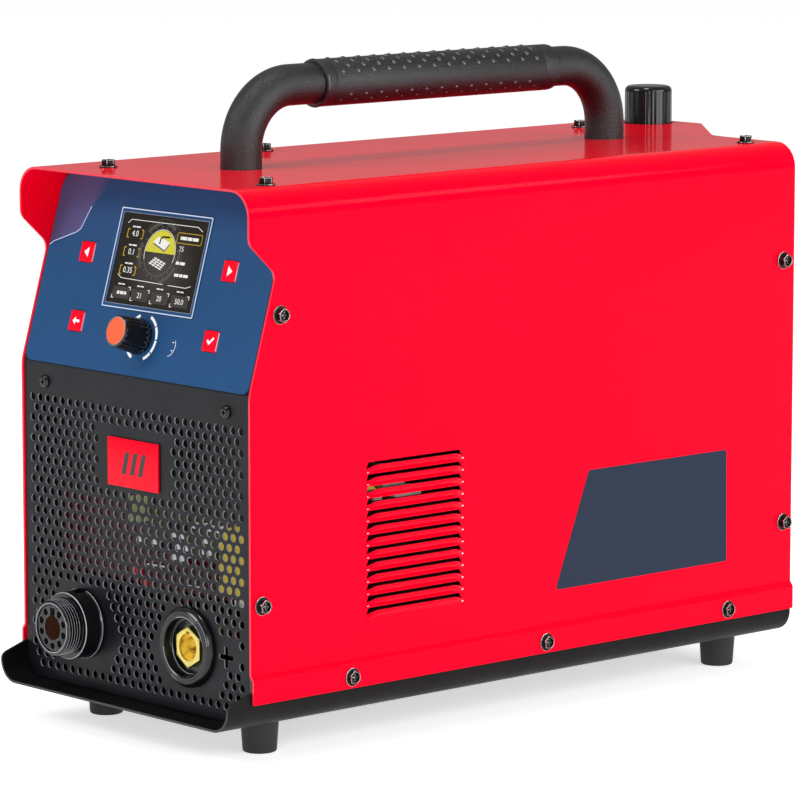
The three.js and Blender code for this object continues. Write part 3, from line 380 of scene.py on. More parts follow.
def triangulate(outer, holes=(), lines=()):
    """Triangles that fill outer but not its holes, with edges along the lines."""
    points, faces, edges = [], [], []
    for loop in [outer, *holes]:
        loop = counterclockwise([Vector(p) for p in loop])
        faces.append(list(range(len(points), len(points) + len(loop))))
        points += loop
    for ends in lines:
        edges.append((len(points), len(points) + 1))
        points += [Vector(p) for p in ends]
    flat, _, triangles, _, _, owners = delaunay_2d_cdt(points, edges, faces, 0, 1e-4)
    return flat, [t for t, owner in zip(triangles, owners) if list(owner) == [0]]


# ---- Bent sheet ----


class Fold:
    """The line that a bent sheet follows: runs, each followed by a bend (degrees to the right, radius)."""

    def __init__(self, start, heading, steps):
        self.parts = []
        point, angle, distance = Vector(start), radians(heading), 0.0
        for run, turn, radius in steps:
            for length, bend in ((run, 0.0), (radians(abs(turn)) * radius, radians(turn))):
                if length > 0:
                    self.parts.append((distance, length, point, angle, bend))
                    point, angle = self.walk(point, angle, bend, length, length)
                    distance += length
        self.length = distance

    @staticmethod
    def walk(point, angle, bend, length, along):
        if bend == 0:
            return point + Vector((cos(angle), sin(angle))) * along, angle
        turned = bend * along / length
        radius = length / bend
        centre = point + Vector((sin(angle), -cos(angle))) * radius
        return centre + Matrix.Rotation(-turned, 2) @ (point - centre), angle - turned

    def at(self, distance):
        """The point at that distance, and the direction to its left."""
        part = next((p for p in reversed(self.parts) if distance >= p[0]), self.parts[0])
        start, length, point, angle, bend = part
        place, heading = self.walk(point, angle, bend, length, distance - start)
        return place, Vector((-sin(heading), cos(heading)))

    def creases(self, step=9, support=0.8):
        """Distances where the sheet needs an edge across it."""
        found = []
        for start, length, _, _, bend in self.parts:
            if bend:
                count = ceil(abs(degrees(bend)) / step)
                found += [start + length * k / count for k in range(count + 1)]
                found += [start - support, start + length + support]
        return found


# ---- Solids ----


class Solid:
    """A mesh under construction, in the millimetres of one frame. Its shapes can be added in a chain."""

    def __init__(self, place=MACHINE):
        self.bm = bmesh.new()
        self.place = place
        self.paint = 0

    def painted(self, index):
        """What is added next gets the finish of that index."""
        self.paint = index
        return self

    def face(self, verts):
        made = self.bm.faces.new(verts)
        made.material_index = self.paint
        return made

    def points(self, coordinates, place):
        return [self.bm.verts.new(place @ Vector(c)) for c in coordinates]

    def bridge(self, low, high):
        """Faces between two rings, either of which may be a single point."""
        count = max(len(low), len(high))
        if count == 1:
            return
        for k in range(count):
            n = (k + 1) % count
            if len(low) == 1:
                self.face([low[0], high[n], high[k]])
            elif len(high) == 1:
                self.face([low[k], low[n], high[0]])
            else:
                self.face([low[k], low[n], high[n], high[k]])

    def lathe(self, profile, sides=48, place=Matrix(), swell=None):
        """A profile of (radius, height) turned about z. swell(angle, height) scales the radius."""
        rings = []
        for radius, height in profile:
            if radius == 0:
                rings.append(self.points([(0, 0, height)], place))
                continue
            ring = []
            for k in range(sides):
                a = 2 * pi * k / sides
                r = radius * (swell(a, height) if swell else 1.0)
                ring.append((r * cos(a), r * sin(a), height))
            rings.append(self.points(ring, place))
        if profile[0] == profile[-1]:
            for v in rings[-1]:
                self.bm.verts.remove(v)
            rings[-1] = rings[0]
        for low, high in zip(rings, rings[1:]):
            self.bridge(low, high)
        return self

    def prism(self, outer, holes=(), low=0.0, high=1.0, place=Matrix()):
        """An outline with holes, from low to high."""
        flat, triangles = triangulate(outer, holes)
        used = sorted({i for t in triangles for i in t})
        floor = dict(zip(used, self.points([(*flat[i], low) for i in used], place)))
        roof = dict(zip(used, self.points([(*flat[i], high) for i in used], place)))
        edges = {(t[k], t[(k + 1) % 3]) for t in triangles for k in range(3)}
        for a, b, c in triangles:
            self.face([roof[a], roof[b], roof[c]])
            self.face([floor[c], floor[b], floor[a]])
        for a, b in edges:
            if (b, a) not in edges:
                self.face([floor[a], floor[b], roof[b], roof[a]])
        return self

    def stroke(self, path, width, low, high, closed=False):
        """A flat ribbon of even width along a path."""
        pts = [Vector(p) for p in path]
        left, right = [], []
        for k, p in enumerate(pts):
            before = pts[k - 1] if (k or closed) else None
            after = pts[(k + 1) % len(pts)] if (k + 1 < len(pts) or closed) else None
            into = (p - before).normalized() if before is not None else (after - p).normalized()
            out = (after - p).normalized() if after is not None else into
            side = Vector((-(into + out).y, (into + out).x)).normalized()
            reach = width / 2 / max(0.5, side.dot(Vector((-into.y, into.x))))
            left.append(p + side * reach)
            right.append(p - side * reach)
        if not closed:
            return self.prism(left + right[::-1], (), low, high)
        outer, inner = (left, right) if area(left) > area(right) else (right, left)
        return self.prism(outer, [inner], low, high)

    def tube(self, path, radius, sides):
        """A round bar along a path of points, closed at both ends."""
        pts = [Vector(p) for p in path]
        ahead = (pts[1] - pts[0]).normalized()
        side = ahead.orthogonal().normalized()
        rings = []
        for k, p in enumerate(pts):
            near = pts[max(0, k - 1)]
            far = pts[min(len(pts) - 1, k + 1)]
            heading = (far - near).normalized()
            side = (side - heading * side.dot(heading)).normalized()
            other = heading.cross(side)
            ring = []
            for n in range(sides):
                a = 2 * pi * n / sides
                ring.append(p + side * radius * cos(a) + other * radius * sin(a))
            rings.append(self.points(ring, Matrix()))
        for low, high in zip(rings, rings[1:]):
            self.bridge(low, high)
        self.face(rings[0][::-1])
        self.face(rings[-1])
        return self

    def sheet(self, outer, holes, lines, fold):
        """A bent sheet's outer surface: fold turns a flat point into its place."""
        flat, triangles = triangulate(outer, holes, lines)
        used = sorted({i for t in triangles for i in t})
        verts = dict(zip(used, self.points([fold(*flat[i]) for i in used], Matrix())))
        for t in triangles:
            self.face([verts[i] for i in t])
        return self

    def grid(self, rows):
        """A surface through rows of points."""
        made = [self.points(row, Matrix()) for row in rows]
        for low, high in zip(made, made[1:]):
            for k in range(len(low) - 1):
                self.face([low[k], low[k + 1], high[k + 1], high[k]])
        return self


def area(points):
    return abs(sum(a.x * b.y - b.x * a.y for a, b in zip(points, points[1:] + points[:1]))) / 2


# In millimetres and degrees: what counts as one point, and what counts as a sharp edge
WELD_DISTANCE = 0.005
EASE_ANGLE = 40


def linked(name, data):
    """An object that shows the data, in the scene."""
    obj = bpy.data.objects.new(name, data)
    bpy.context.scene.collection.objects.link(obj)
    return obj


def as_mesh(name, solid):
    """The solid as a mesh in metres; the solid itself is used up."""
    mesh = bpy.data.meshes.new(name)
    solid.bm.transform(solid.place)
    solid.bm.to_mesh(mesh)
    solid.bm.free()
    return mesh


def final_mesh(obj):
    """A new mesh, with what the object's modifiers make of its own."""
    graph = bpy.context.evaluated_depsgraph_get()
    return bpy.data.meshes.new_from_object(obj.evaluated_get(graph))


def baked(obj):
    """Replaces an object's mesh with what its modifiers make of it."""
    old = obj.data
    final = final_mesh(obj)
    obj.modifiers.clear()
    obj.data = final
    bpy.data.meshes.remove(old)
    final.name = obj.name
    return final


def ease(obj, width):
    """Bevels the object's sharp edges, by a width in millimetres."""
    edge = obj.modifiers.new("edge", "BEVEL")
    edge.width = width * MM
    edge.segments = 2
    edge.limit_method = "ANGLE"
    edge.angle_limit = radians(EASE_ANGLE)
    return edge


def piece(name, solid, finishes, body="case", replaces=(), smooth=35, bevel=0.0, sheet=0.0,
          inside=None, edge_paint=-1):
    """Makes a piece of the solid: thickened if it is a sheet, with eased edges, riding on a body."""
    bm = solid.bm
    bmesh.ops.remove_doubles(bm, verts=bm.verts, dist=WELD_DISTANCE)
    bmesh.ops.recalc_face_normals(bm, faces=bm.faces)
    if inside is not None:
        outward = sum(f.calc_area() * f.normal.dot(f.calc_center_median() - Vector(inside)) for f in bm.faces)
        if outward < 0:
            bmesh.ops.reverse_faces(bm, faces=bm.faces)
    mesh = as_mesh(name, solid)
    obj = linked(name, mesh)
    for material in finishes if isinstance(finishes, (list, tuple)) else [finishes]:
        mesh.materials.append(F[material])
    if sheet:
        thick = obj.modifiers.new("thick", "SOLIDIFY")
        thick.thickness = sheet * MM
        thick.offset = -1
        thick.material_offset_rim = len(mesh.materials) - 1
    if bevel:
        ease(obj, bevel).material = edge_paint
    if sheet or bevel:
        mesh = baked(obj)
    mesh.shade_smooth()
    mesh.set_sharp_from_angle(angle=radians(smooth))
    if sheet:
        even = obj.modifiers.new("even", "WEIGHTED_NORMAL")
        even.mode = "FACE_AREA"
        even.weight = 50
        even.keep_sharp = True
        baked(obj)
    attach(obj, body)
    if replaces:
        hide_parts(*([replaces] if isinstance(replaces, str) else replaces))
    return obj


# ---- Case ----

JOGGLE = degrees(atan2(STRIP_OUT, 3.0))
JOGGLE_RADIUS = 1.5
JOGGLE_CUT = JOGGLE_RADIUS * tan(radians(JOGGLE / 2))
COVER_FOLD = Fold((0, COVER_TOP), 0, [
    (FLAT_TOP_X, 90, COVER_BEND),
    (COVER_TOP - COVER_BEND - 57 - JOGGLE_CUT, -JOGGLE, JOGGLE_RADIUS),
    (hypot(STRIP_OUT, 3.0) - 2 * JOGGLE_CUT, JOGGLE, JOGGLE_RADIUS),
    (54 - COVER_BOTTOM - JOGGLE_CUT, 0, 0),
])
SIDE_START = FLAT_TOP_X + COVER_BEND * pi / 2


def on_cover(u, y, out=0.0):
    """The place of a flat point of the cover: u across from the middle of the top, y along."""
    point, normal = COVER_FOLD.at(abs(u))
    point = point + normal * out
    return copysign(point.x, u), y, point.y


def side_u(z):
    """How far across the flat sheet a height on the side wall is."""
    return SIDE_START + COVER_TOP - COVER_BEND - z


LOUVRE_COUNT, LOUVRE_PITCH, LOUVRE_TOP_Z = 13, 7.5, 176.5
LOUVRE_FRONT_Y, LOUVRE_REAR_Y = 92.0, 172.0
LOUVRE_DROP, LOUVRE_LIP, LOUVRE_SAG = 6.8, 1.9, 2.6
LOUVRE_OUT, LOUVRE_TAPER, LOUVRE_INSET = 3.1, 8.0, 2.0
LOUVRE_ROWS = 6


def louvre_columns():
    ends = [0.0, 0.8, 1.8, 3.0, 4.4, 6.0, LOUVRE_TAPER]
    span = LOUVRE_REAR_Y - LOUVRE_FRONT_Y
    middle = [LOUVRE_TAPER + (span - 2 * LOUVRE_TAPER) * k / 4 for k in (1, 2, 3)]
    return [LOUVRE_FRONT_Y + y for y in [*ends, *middle, *[span - e for e in reversed(ends)]]]


def louvre_rise(y):
    """How far a hood is raised there: none at its ends, fully in the middle."""
    near = min(1.0, min(y - LOUVRE_FRONT_Y, LOUVRE_REAR_Y - y) / LOUVRE_TAPER)
    return sin(near * pi / 2) ** 1.2


def louvre_row_z(top, row, rise):
    low = top - LOUVRE_DROP
    lip = top - LOUVRE_LIP - LOUVRE_SAG * (1 - rise)
    return low + (lip - low) * row / LOUVRE_ROWS


def louvre_hole(side, top):
    """The opening that one louvre's hood is raised from, round its edge."""
    columns = louvre_columns()
    front, rear = columns[0], columns[-1]
    loop = [(side * side_u(top - LOUVRE_DROP), y) for y in columns]
    loop += [(side * side_u(louvre_row_z(top, row, 0)), rear) for row in range(1, LOUVRE_ROWS + 1)]
    loop += [(side * side_u(top), rear - LOUVRE_INSET), (side * side_u(top), front + LOUVRE_INSET)]
    loop += [(side * side_u(louvre_row_z(top, row, 0)), front) for row in range(LOUVRE_ROWS, 0, -1)]
    return loop


def louvre_hood(solid, side, top):
    """The hood, flush below and at both ends, standing out at its upper lip."""
    rows = []
    for row in range(LOUVRE_ROWS + 1):
        bulge = sin(pi / 2 * row / LOUVRE_ROWS) ** 0.8
        points = []
        for y in louvre_columns():
            rise = louvre_rise(y)
            points.append(on_cover(side * side_u(louvre_row_z(top, row, rise)), y, LOUVRE_OUT * rise * bulge))
        rows.append(points)
    solid.grid(rows)


def fold_lines(fold, far):
    """Edges along every crease of a sheet that is bent alike on both sides."""
    return [((side * u, -40), (side * u, far)) for u in fold.creases() for side in (1, -1)]


def mirrored(corners):
    return [(-u, y, radius) for u, y, radius in reversed(corners)]


def cover_outline():
    """The flat cover: cut back beside the sloping panel, with the hood over the air regulator behind."""
    end = COVER_FOLD.length
    rear = CASE_LENGTH
    right = [
        (end, 0, 1.0),
        (side_u(BEND_Z), 0, 30),
        (side_u(SLANT_TOP_Z), SLANT_TOP_Y, 9),
        (side_u(VISOR_Z), 0, 9),
    ]
    hood = [
        (-FLAT_TOP_X, rear, 2),
        (-FLAT_TOP_X, rear + 38, 10),
        (-84, rear + 60, 6),
        (-34, rear + 60, 5),
        (33, rear + 2, 12),
        (46, rear, 8),
    ]
    return rounded([*mirrored(right), (-end, rear, 1.0), *hood, (end, rear, 1.0), *right], 8)


def cover():
    holes = [circle(HANDLE_HOLE, 48, (0, y)) for y in (HANDLE_FRONT_Y, HANDLE_REAR_Y)]
    holes.append(circle(REGULATOR_HOLE, 48, (REGULATOR_X, REGULATOR_Y)))
    solid = Solid()
    for side_name, side, _ in SIDES:
        corners = Solid()
        face = side * SIDE_FACE
        for row in range(LOUVRE_COUNT):
            top = LOUVRE_TOP_Z - row * LOUVRE_PITCH
            holes.append(louvre_hole(side, top))
            louvre_hood(solid, side, top)
            low = top - LOUVRE_LIP - LOUVRE_SAG
            foot = top - LOUVRE_PITCH + 1.1
            rear, front = LOUVRE_REAR_Y, LOUVRE_FRONT_Y
            # Painted highlights: short pale bars at each louvre's rear lower corner and front foot stand in
            # for glints
            corners.tube([(face, rear - 0.7, low - 1.1), (face, rear + 0.5, low - 1.0)], 0.42, 10)
            if row < LOUVRE_COUNT - 1:
                corners.tube([(face, front + 0.9, foot), (face, front + 3.2, foot + 0.3)], 0.34, 10)
        piece(f"louvre_corner_glints_{side_name}", corners, "glint")
    solid.sheet(cover_outline(), holes, fold_lines(COVER_FOLD, 560), on_cover)
    # The cut edges take the second finish, a painted highlight
    piece("cover_shell", solid, ["red", "red_rim_highlight"], replaces="top_cover", sheet=SHEET,
          bevel=0.35, inside=(0, 240, 180), smooth=30)


TRAY_HALF, TRAY_BEND = 111.5, 14.0
TRAY_WALL_TOP = 53.0
TRAY_FOLD = Fold((0, FOOT_HEIGHT), 0, [
    (TRAY_HALF - TRAY_BEND, -90, TRAY_BEND),
    (TRAY_WALL_TOP - FOOT_HEIGHT - TRAY_BEND, 0, 0),
])


def on_tray(u, y):
    point, _ = TRAY_FOLD.at(abs(u))
    return copysign(point.x, u), y, point.y


def tray():
    wall = TRAY_FOLD.length - (TRAY_WALL_TOP - FOOT_HEIGHT - TRAY_BEND) - FOOT_HEIGHT - TRAY_BEND
    right = [
        (wall + 40.2, -18.6, 5),
        (wall + 47.0, 2.0, 6),
        (wall + 47.4, 5.0, 0),
        (wall + TRAY_WALL_TOP, 6.0, 0),
        (wall + TRAY_WALL_TOP, REAR_Y + 1.5, 0.5),
    ]
    vents = [rectangle(5, 60, 2.5, (x + (row - 2.5) * 11, 330)) for row in range(6) for x in (-45, 45)]
    outline = rounded([*right, *mirrored(right)], 12)
    solid = Solid().sheet(outline, vents, fold_lines(TRAY_FOLD, 500), on_tray)
    # The cut edges take the second finish, a painted highlight
    piece("tray_shell", solid, ["tray_black", "tray_rim_highlight"], replaces="base_tray",
          sheet=SHEET, bevel=0.3, inside=(0, 240, 180), smooth=30)


PANEL_BOTTOM_Z = 24.9
PANEL_FOLD = Fold((PANEL_Y, PANEL_BOTTOM_Z), 90, [
    (BEND_Z - PANEL_BOTTOM_Z - 0.4, degrees(SLANT), 3.0),
    (125.0, 0, 0),
])


def on_panel(x, v):
    point, _ = PANEL_FOLD.at(v)
    return x, point.x, point.y


def panel_v(z):
    return z - PANEL_BOTTOM_Z


HOLE_PITCH, HOLE_RADIUS = 7.5, 2.5
ROW_STEP = HOLE_PITCH * sqrt(3) / 2
ROW_COUNT, TOP_ROW_Z = 27, 203.3
PLUS_X, PLUS_Z = 86.5, 64.4
BLANK_Z = 64.8


def is_blank(x, z, row):
    """Where the upright panel has no perforations: round the badge, both sockets and the plus mark."""
    beside_badge = 2 <= row <= 7 and abs(x) < 37
    around = (abs(abs(x) - SOCKET_X) + 0.577 * abs(z - BLANK_Z) < 37.5) and abs(z - BLANK_Z) < 28
    plus = abs(x - PLUS_X) < 12.5 and abs(z - PLUS_Z) < 10
    corner = row == ROW_COUNT - 1 and abs(x) > 95
    return beside_badge or around or plus or corner


def perforations():
    holes = []
    for row in range(ROW_COUNT):
        z = TOP_ROW_Z - row * ROW_STEP
        count = 28 - row % 2
        for k in range(count):
            x = (k - (count - 1) / 2) * HOLE_PITCH
            if not is_blank(x, z, row):
                holes.append(circle(HOLE_RADIUS, 16, (x, panel_v(z)), 7))
    return holes


KEYS = {
    "button_left": (-69.0, 72.5, "key_left"),
    "button_right": (69.0, 72.5, "key_right"),
    "button_back": (-65.0, 29.0, "key_back"),
    "button_select": (65.0, 29.0, "key_select"),
}
KEY_SIZE = 12.7


def slope_v(up):
    return BEND_Z - PANEL_BOTTOM_Z + up


def key_hole(x, y):
    return rectangle(KEY_SIZE + 0.8, KEY_SIZE + 0.8, 1.0, (x, y))


def front_panel():
    holes = perforations()
    holes += [
        circle(TORCH_HOLE, 48, (-SOCKET_X, panel_v(SOCKET_Z))),
        circle(WORK_HOLE, 48, (SOCKET_X, panel_v(SOCKET_Z))),
        cross(6.5, 3.2, (PLUS_X, panel_v(PLUS_Z))),
        rectangle(80.4, 55.4, 0, (0, slope_v(LCD_UP))),
        circle(4, 24, (0, slope_v(ENCODER_UP))),
    ]
    holes += [key_hole(x, slope_v(up)) for x, up, _ in KEYS.values()]
    top = PANEL_FOLD.length
    outline = rounded([
        (-INNER_HALF, 0, 12.5),
        (INNER_HALF, 0, 12.5),
        (INNER_HALF, top, 15),
        (-INNER_HALF, top, 15),
    ])
    lines = [((-150, v), (150, v)) for v in PANEL_FOLD.creases()]
    # The cut edges and the holes' walls take the second finish, a painted highlight
    piece("front_sheet", Solid().sheet(outline, holes, lines, on_panel), ["black", "black_rim_highlight"],
          replaces="front_panel", sheet=1.0, bevel=0.15, inside=(0, 240, 150), smooth=30)


# ---- Fasteners ----


def flange_screw(name, spot, top=4.8, replaces=()):
    """Hexagon head on a flange, with a dished top and a cross recess. Its eased edges are painted bright, a
    painted highlight.
    """
    solid = Solid().lathe([(0, 0), (5.7, 0), (5.7, 0.9), (3.6, 1.3), (0, 1.3)], 28, spot)
    solid.prism(circle(4.4, 6, turn=10), [circle(3.3, 24)], 0.9, top, spot).painted(1)
    solid.prism(circle(3.3, 24), (), 0.9, top - 1.3, spot)
    solid.prism(cross(2.1, 0.8), (), top - 1.3, top - 0.7, spot)
    piece(name, solid, ["dark_steel", "recess", "screw_edge_highlight"], replaces=replaces,
          bevel=0.28, edge_paint=2)


def pan_screw(name, place, spot):
    """Domed head with a cross recess, its floor painted darker than the head: painted shade."""
    head, low, high = 2.65, 2.3 - 1.1, 2.3
    dome = [(2.6, 0), (4.1, 0), (4.2, 0.6), (3.9, 1.4), (3.2, 2.0), (2.6, 2.25), (2.6, 0)]
    solid = Solid(place).lathe(dome, 28, spot)
    solid.prism(circle(head, 24), [cross(head * 0.62, head * 0.3)], low, high, spot).painted(1)
    solid.prism(circle(head - 0.01, 24), (), low - 0.4, low, spot)
    piece(name, solid, ["gloss", "recess"], bevel=0.1)


STRIP_SCREWS = {"front": 78.5, "middle": 242.0, "rear": 406.0}
SIDE_SCREWS = {"upper_front": (23.8, 272.8), "lower_front": (8.7, 98.5),
               "lower_rear": (460.0, 97.6), "upper_rear": (457.7, 271.7)}
TOP_SCREWS = {"front_left": (-62, 32), "front_right": (89, 32), "middle_left": (-80, 174.6),
              "rear_left": (-68, 445), "rear_right": (88, 445)}


def screws():
    strip_face = SIDE_FACE + STRIP_OUT
    for where, y in STRIP_SCREWS.items():
        for side_name, side, turn in SIDES:
            flange_screw(f"strip_fastener_{side_name}_{where}", shift(side * strip_face, y, 46) @ turn, 3.4,
                         f"strip_screw_{side_name}_{where}")
    for where, (y, z) in SIDE_SCREWS.items():
        for side_name, side, turn in SIDES:
            flange_screw(f"side_screw_{side_name}_{where}", shift(side * SIDE_FACE, y, z) @ turn)
    for where, (x, y) in TOP_SCREWS.items():
        flange_screw(f"top_screw_{where}", shift(x, y, COVER_TOP))
    for side_name, side, _ in SIDES:
        pan_screw(f"panel_screw_{side_name}", UPRIGHT, shift(side * 88, 214, 0))


# ---- Handle and feet ----


def handle():
    bend, low = 39.0, 326.0
    y0, y1, z = HANDLE_FRONT_Y, HANDLE_REAR_Y, HANDLE_AXIS_Z
    front = arc(bend, 180, 90, 20, (y0 + bend, z - bend))
    rear = arc(bend, 90, 0, 20, (y1 - bend, z - bend))
    legs = [Vector((y0, low)), *front, *rear, Vector((y1, low))]
    piece("handle_bow", Solid().tube([(0, p.x, p.y) for p in legs], HANDLE_RADIUS, 48), "leather",
          replaces="handle_tube", smooth=40)


GRIP_FRONT_Y, GRIP_REAR_Y, GRIP_RADIUS = 146.0, 348.0, 15.0
PIP_PITCH, PIP_FIRST, PIP_COUNT = 12.85, 160.5, 14
# Each row of pips: its angle round the grip, and its size
UPPER_PIPS = [(30, 1.0), (47, 1.0), (64, 1.0), (81, 1.0), (99, 1.0), (116, 1.0), (133, 1.0), (150, 1.0)]
LOWER_PIPS = [(-47, 0.6), (-30, 0.8), (-150, 0.8), (-133, 0.6)]


def pip(solid, y, angle, size):
    """One raised pip of the grip."""
    across = Matrix.Rotation(pi / 2 - radians(angle), 4, "Y")
    lift = shift(0, y, HANDLE_AXIS_Z) @ across @ shift(0, 0, GRIP_RADIUS - 0.25)
    dome = [(1.6 * size * cos(t), 1.0 * size * sin(t)) for t in (0, 0.4, 0.8, 1.2)]
    solid.lathe([*dome, (0, 1.0 * size)], 12, lift)


def grip():
    """A ribbed sleeve with staggered rows of pips, none of them straight below."""
    low, high, r = GRIP_FRONT_Y, GRIP_REAR_Y, GRIP_RADIUS
    along = shift(0, 0, HANDLE_AXIS_Z) @ TO_BACK
    profile = [(13.1, low), (r - 0.5, low), (r + 0.1, low + 0.4), (r + 0.15, low + 1.6), (r - 0.2, low + 2.2),
               (r, low + 3.2), (r, low + 8.6), (r - 0.15, low + 9.0), (r, low + 9.4), (r, high - 13.6),
               (r - 0.3, high - 13.0), (r, high - 12.4), (r, high - 2.0), (r - 0.2, high - 0.6),
               (r - 0.8, high), (13.1, high), (13.1, low)]
    band = [(r, low + 1.0), (r + 0.35, low + 1.1), (r + 0.45, low + 1.4), (r + 0.35, low + 1.7),
            (r, low + 1.8), (r, low + 1.0)]
    solid = Solid().lathe(profile, 72, along).painted(1).lathe(band, 72, along)
    for row in (UPPER_PIPS, LOWER_PIPS):
        for index, (angle, size) in enumerate(row):
            offset = PIP_PITCH / 2 * (index % 2)
            for k in range(PIP_COUNT - index % 2):
                pip(solid, PIP_FIRST + offset + k * PIP_PITCH, angle, size)
    piece("grip_sleeve", solid, ["leather", "pip"], replaces="handle_grip", smooth=50)


def feet():
    rubber = [(0, 9), (4.4, 9), (4.6, 8.6), (4.6, 0.6), (5.2, 0), (9.4, 0), (10.2, 0.4), (10.6, 1.4),
              (11.9, 20.6), (12.4, 21.0), (12.4, 22.3), (12.0, 22.7), (0, 22.7)]
    screw = [(0, 9.1), (3.6, 9.1), (3.8, 9.6), (3.4, 8.0), (0, 7.6)]
    for name in ("foot_front_left", "foot_front_right", "foot_rear_left", "foot_rear_right"):
        low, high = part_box(name)
        centre = (low + high) / 2
        solid = Solid(Matrix.Translation((centre.x, centre.y, 0)) @ Matrix.Scale(MM, 4))
        solid.lathe(rubber, 48).painted(1).lathe(screw, 20)
        piece(name.replace("foot", "rubber_foot"), solid, ["rubber", "steel"], replaces=name)


# ---- Control panel, in the slope's frame ----

OVERLAY_LOW, OVERLAY_HIGH = 0.3, 0.7
PRINT = 0.08


def overlay():
    half = INNER_HALF - 0.6
    top = (SLANT_TOP_Z + 47 - BEND_Z) / cos(SLANT)
    outline = rounded([(-half, 0.6, 6), (half, 0.6, 6), (half, top, 14), (-half, top, 14)])
    holes = [rectangle(88.4, 63.4, 0.5, (0, LCD_UP)), circle(5.5, 32, (0, ENCODER_UP))]
    holes += [key_hole(x, up) for x, up, _ in KEYS.values()]
    piece("overlay_film", Solid(SLOPE).prism(outline, holes, OVERLAY_LOW, OVERLAY_HIGH), "overlay",
          replaces="control_overlay")

    # The violet corner, the steps in which it fades, and the line that borders it
    inked = (OVERLAY_HIGH - PRINT, OVERLAY_HIGH + PRINT / 2)
    edge = top - 0.3
    border = [(-108.4, 74), (-104.4, 76.6), (-84.2, 84), (-80.6, 86.6), (-74.8, 101)]
    corner = [*border, (-70, edge), *arc(13.7, 90, 180, 8, (14 - half, top - 14))]
    piece("overlay_tint", Solid(SLOPE).prism(corner, (), *inked), "violet")
    for k in range(TINT_STEPS):
        left, right = TINT_STEP * k, TINT_STEP * (k + 1)
        fade = [(left - 74.8, 101 + 1.1 * left), (right - 74.8, 101 + 1.1 * right), (right - 70, edge),
                (left - 70, edge)]
        piece(f"overlay_fade_{k + 1}", Solid(SLOPE).prism(fade, (), *inked), f"violet_{k + 1}")
    piece("overlay_line", Solid(SLOPE).stroke(border, 0.5, OVERLAY_HIGH, OVERLAY_HIGH + PRINT), "print_blue")

    # The scale round the encoder, and a small sign to its right
    printed = (OVERLAY_HIGH, OVERLAY_HIGH + PRINT)
    marks = Solid(SLOPE)
    for start, end in ((69, 35.5), (32.5, 0), (-3, -35), (-39, -66)):
        for a, b in ((start, end), (180 - end, 180 - start)):
            marks.stroke(arc(14.0, a, b, 6, (0, ENCODER_UP)), 1.9, *printed)
    marks.stroke(arc(7.3, -75, 25, 10, (26, 23)), 0.28, *printed)
    for up in (19.8, 24.9):
        marks.prism(rectangle(1.2, 0.5, 0, (30.8, up)), (), *printed)
    piece("overlay_marks", marks, "print_white")


def lcd_frame():
    def around(width, height, radius):
        return rectangle(width, height, radius, (0, LCD_UP))

    solid = Solid(SLOPE).prism(around(87.6, 62.6, 0.8), [around(81.6, 56.6, 0.3)], 0.3, 1.2).painted(1)
    # The frame's outer line glows, a painted light
    solid.prism(around(87.6, 62.6, 0.8), [around(86.2, 61.2, 0.5)], 1.2, 1.4).painted(2)
    solid.prism(around(82.6, 57.6, 0.3), [around(81.8, 56.8, 0.3)], 1.2, 1.35)
    piece("lcd_surround", solid, ["overlay", "lit_line", "silver"], replaces="lcd_bezel")
    piece("lcd_screen", Solid(SLOPE).prism(around(81.0, 56.0, 0.3), (), 0.3, 0.7), "screen",
          replaces="lcd_glass")


SCREEN_TOP = 0.7


class Picture:
    """Lit marks on the display, placed from the screen's middle."""

    def __init__(self, name, finish_name):
        self.name = name
        self.finish_name = finish_name
        self.solid = Solid(SLOPE @ shift(0, LCD_UP, SCREEN_TOP))

    def words(self, x, y, widths, height):
        """A line of print, shown as blocks."""
        place = x - (sum(widths) + 0.7 * (len(widths) - 1)) / 2
        for width in widths:
            self.shape(rectangle(width, height, 0, (place + width / 2, y)))
            place += width + 0.7

    def line(self, path, width, closed=False):
        self.solid.stroke(path, width, 0, PRINT, closed=closed)

    def shape(self, outer, lift=0.0):
        self.solid.prism(outer, (), lift, lift + PRINT)

    def number(self, key, text, size, x, y):
        numeral(f"lcd_value_{key}", text, size, self.solid.place @ shift(x, y, 0.05), self.finish_name)

    def show(self):
        return piece(self.name, self.solid, self.finish_name)


def numeral(name, text, size, place, finish_name, body="case"):
    """A number as a thin raised mesh."""
    curve = bpy.data.curves.new(name, "FONT")
    curve.body = text
    curve.size = size
    curve.align_x = "CENTER"
    curve.align_y = "CENTER"
    curve.extrude = 0.03
    curve.resolution_u = 4
    holder = linked(name + "_text", curve)
    mesh = final_mesh(holder)
    bpy.data.objects.remove(holder)
    mesh.transform(place)
    mesh.name = name
    mesh.materials.clear()
    mesh.materials.append(F[finish_name])
    obj = linked(name, mesh)
    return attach(obj, body)


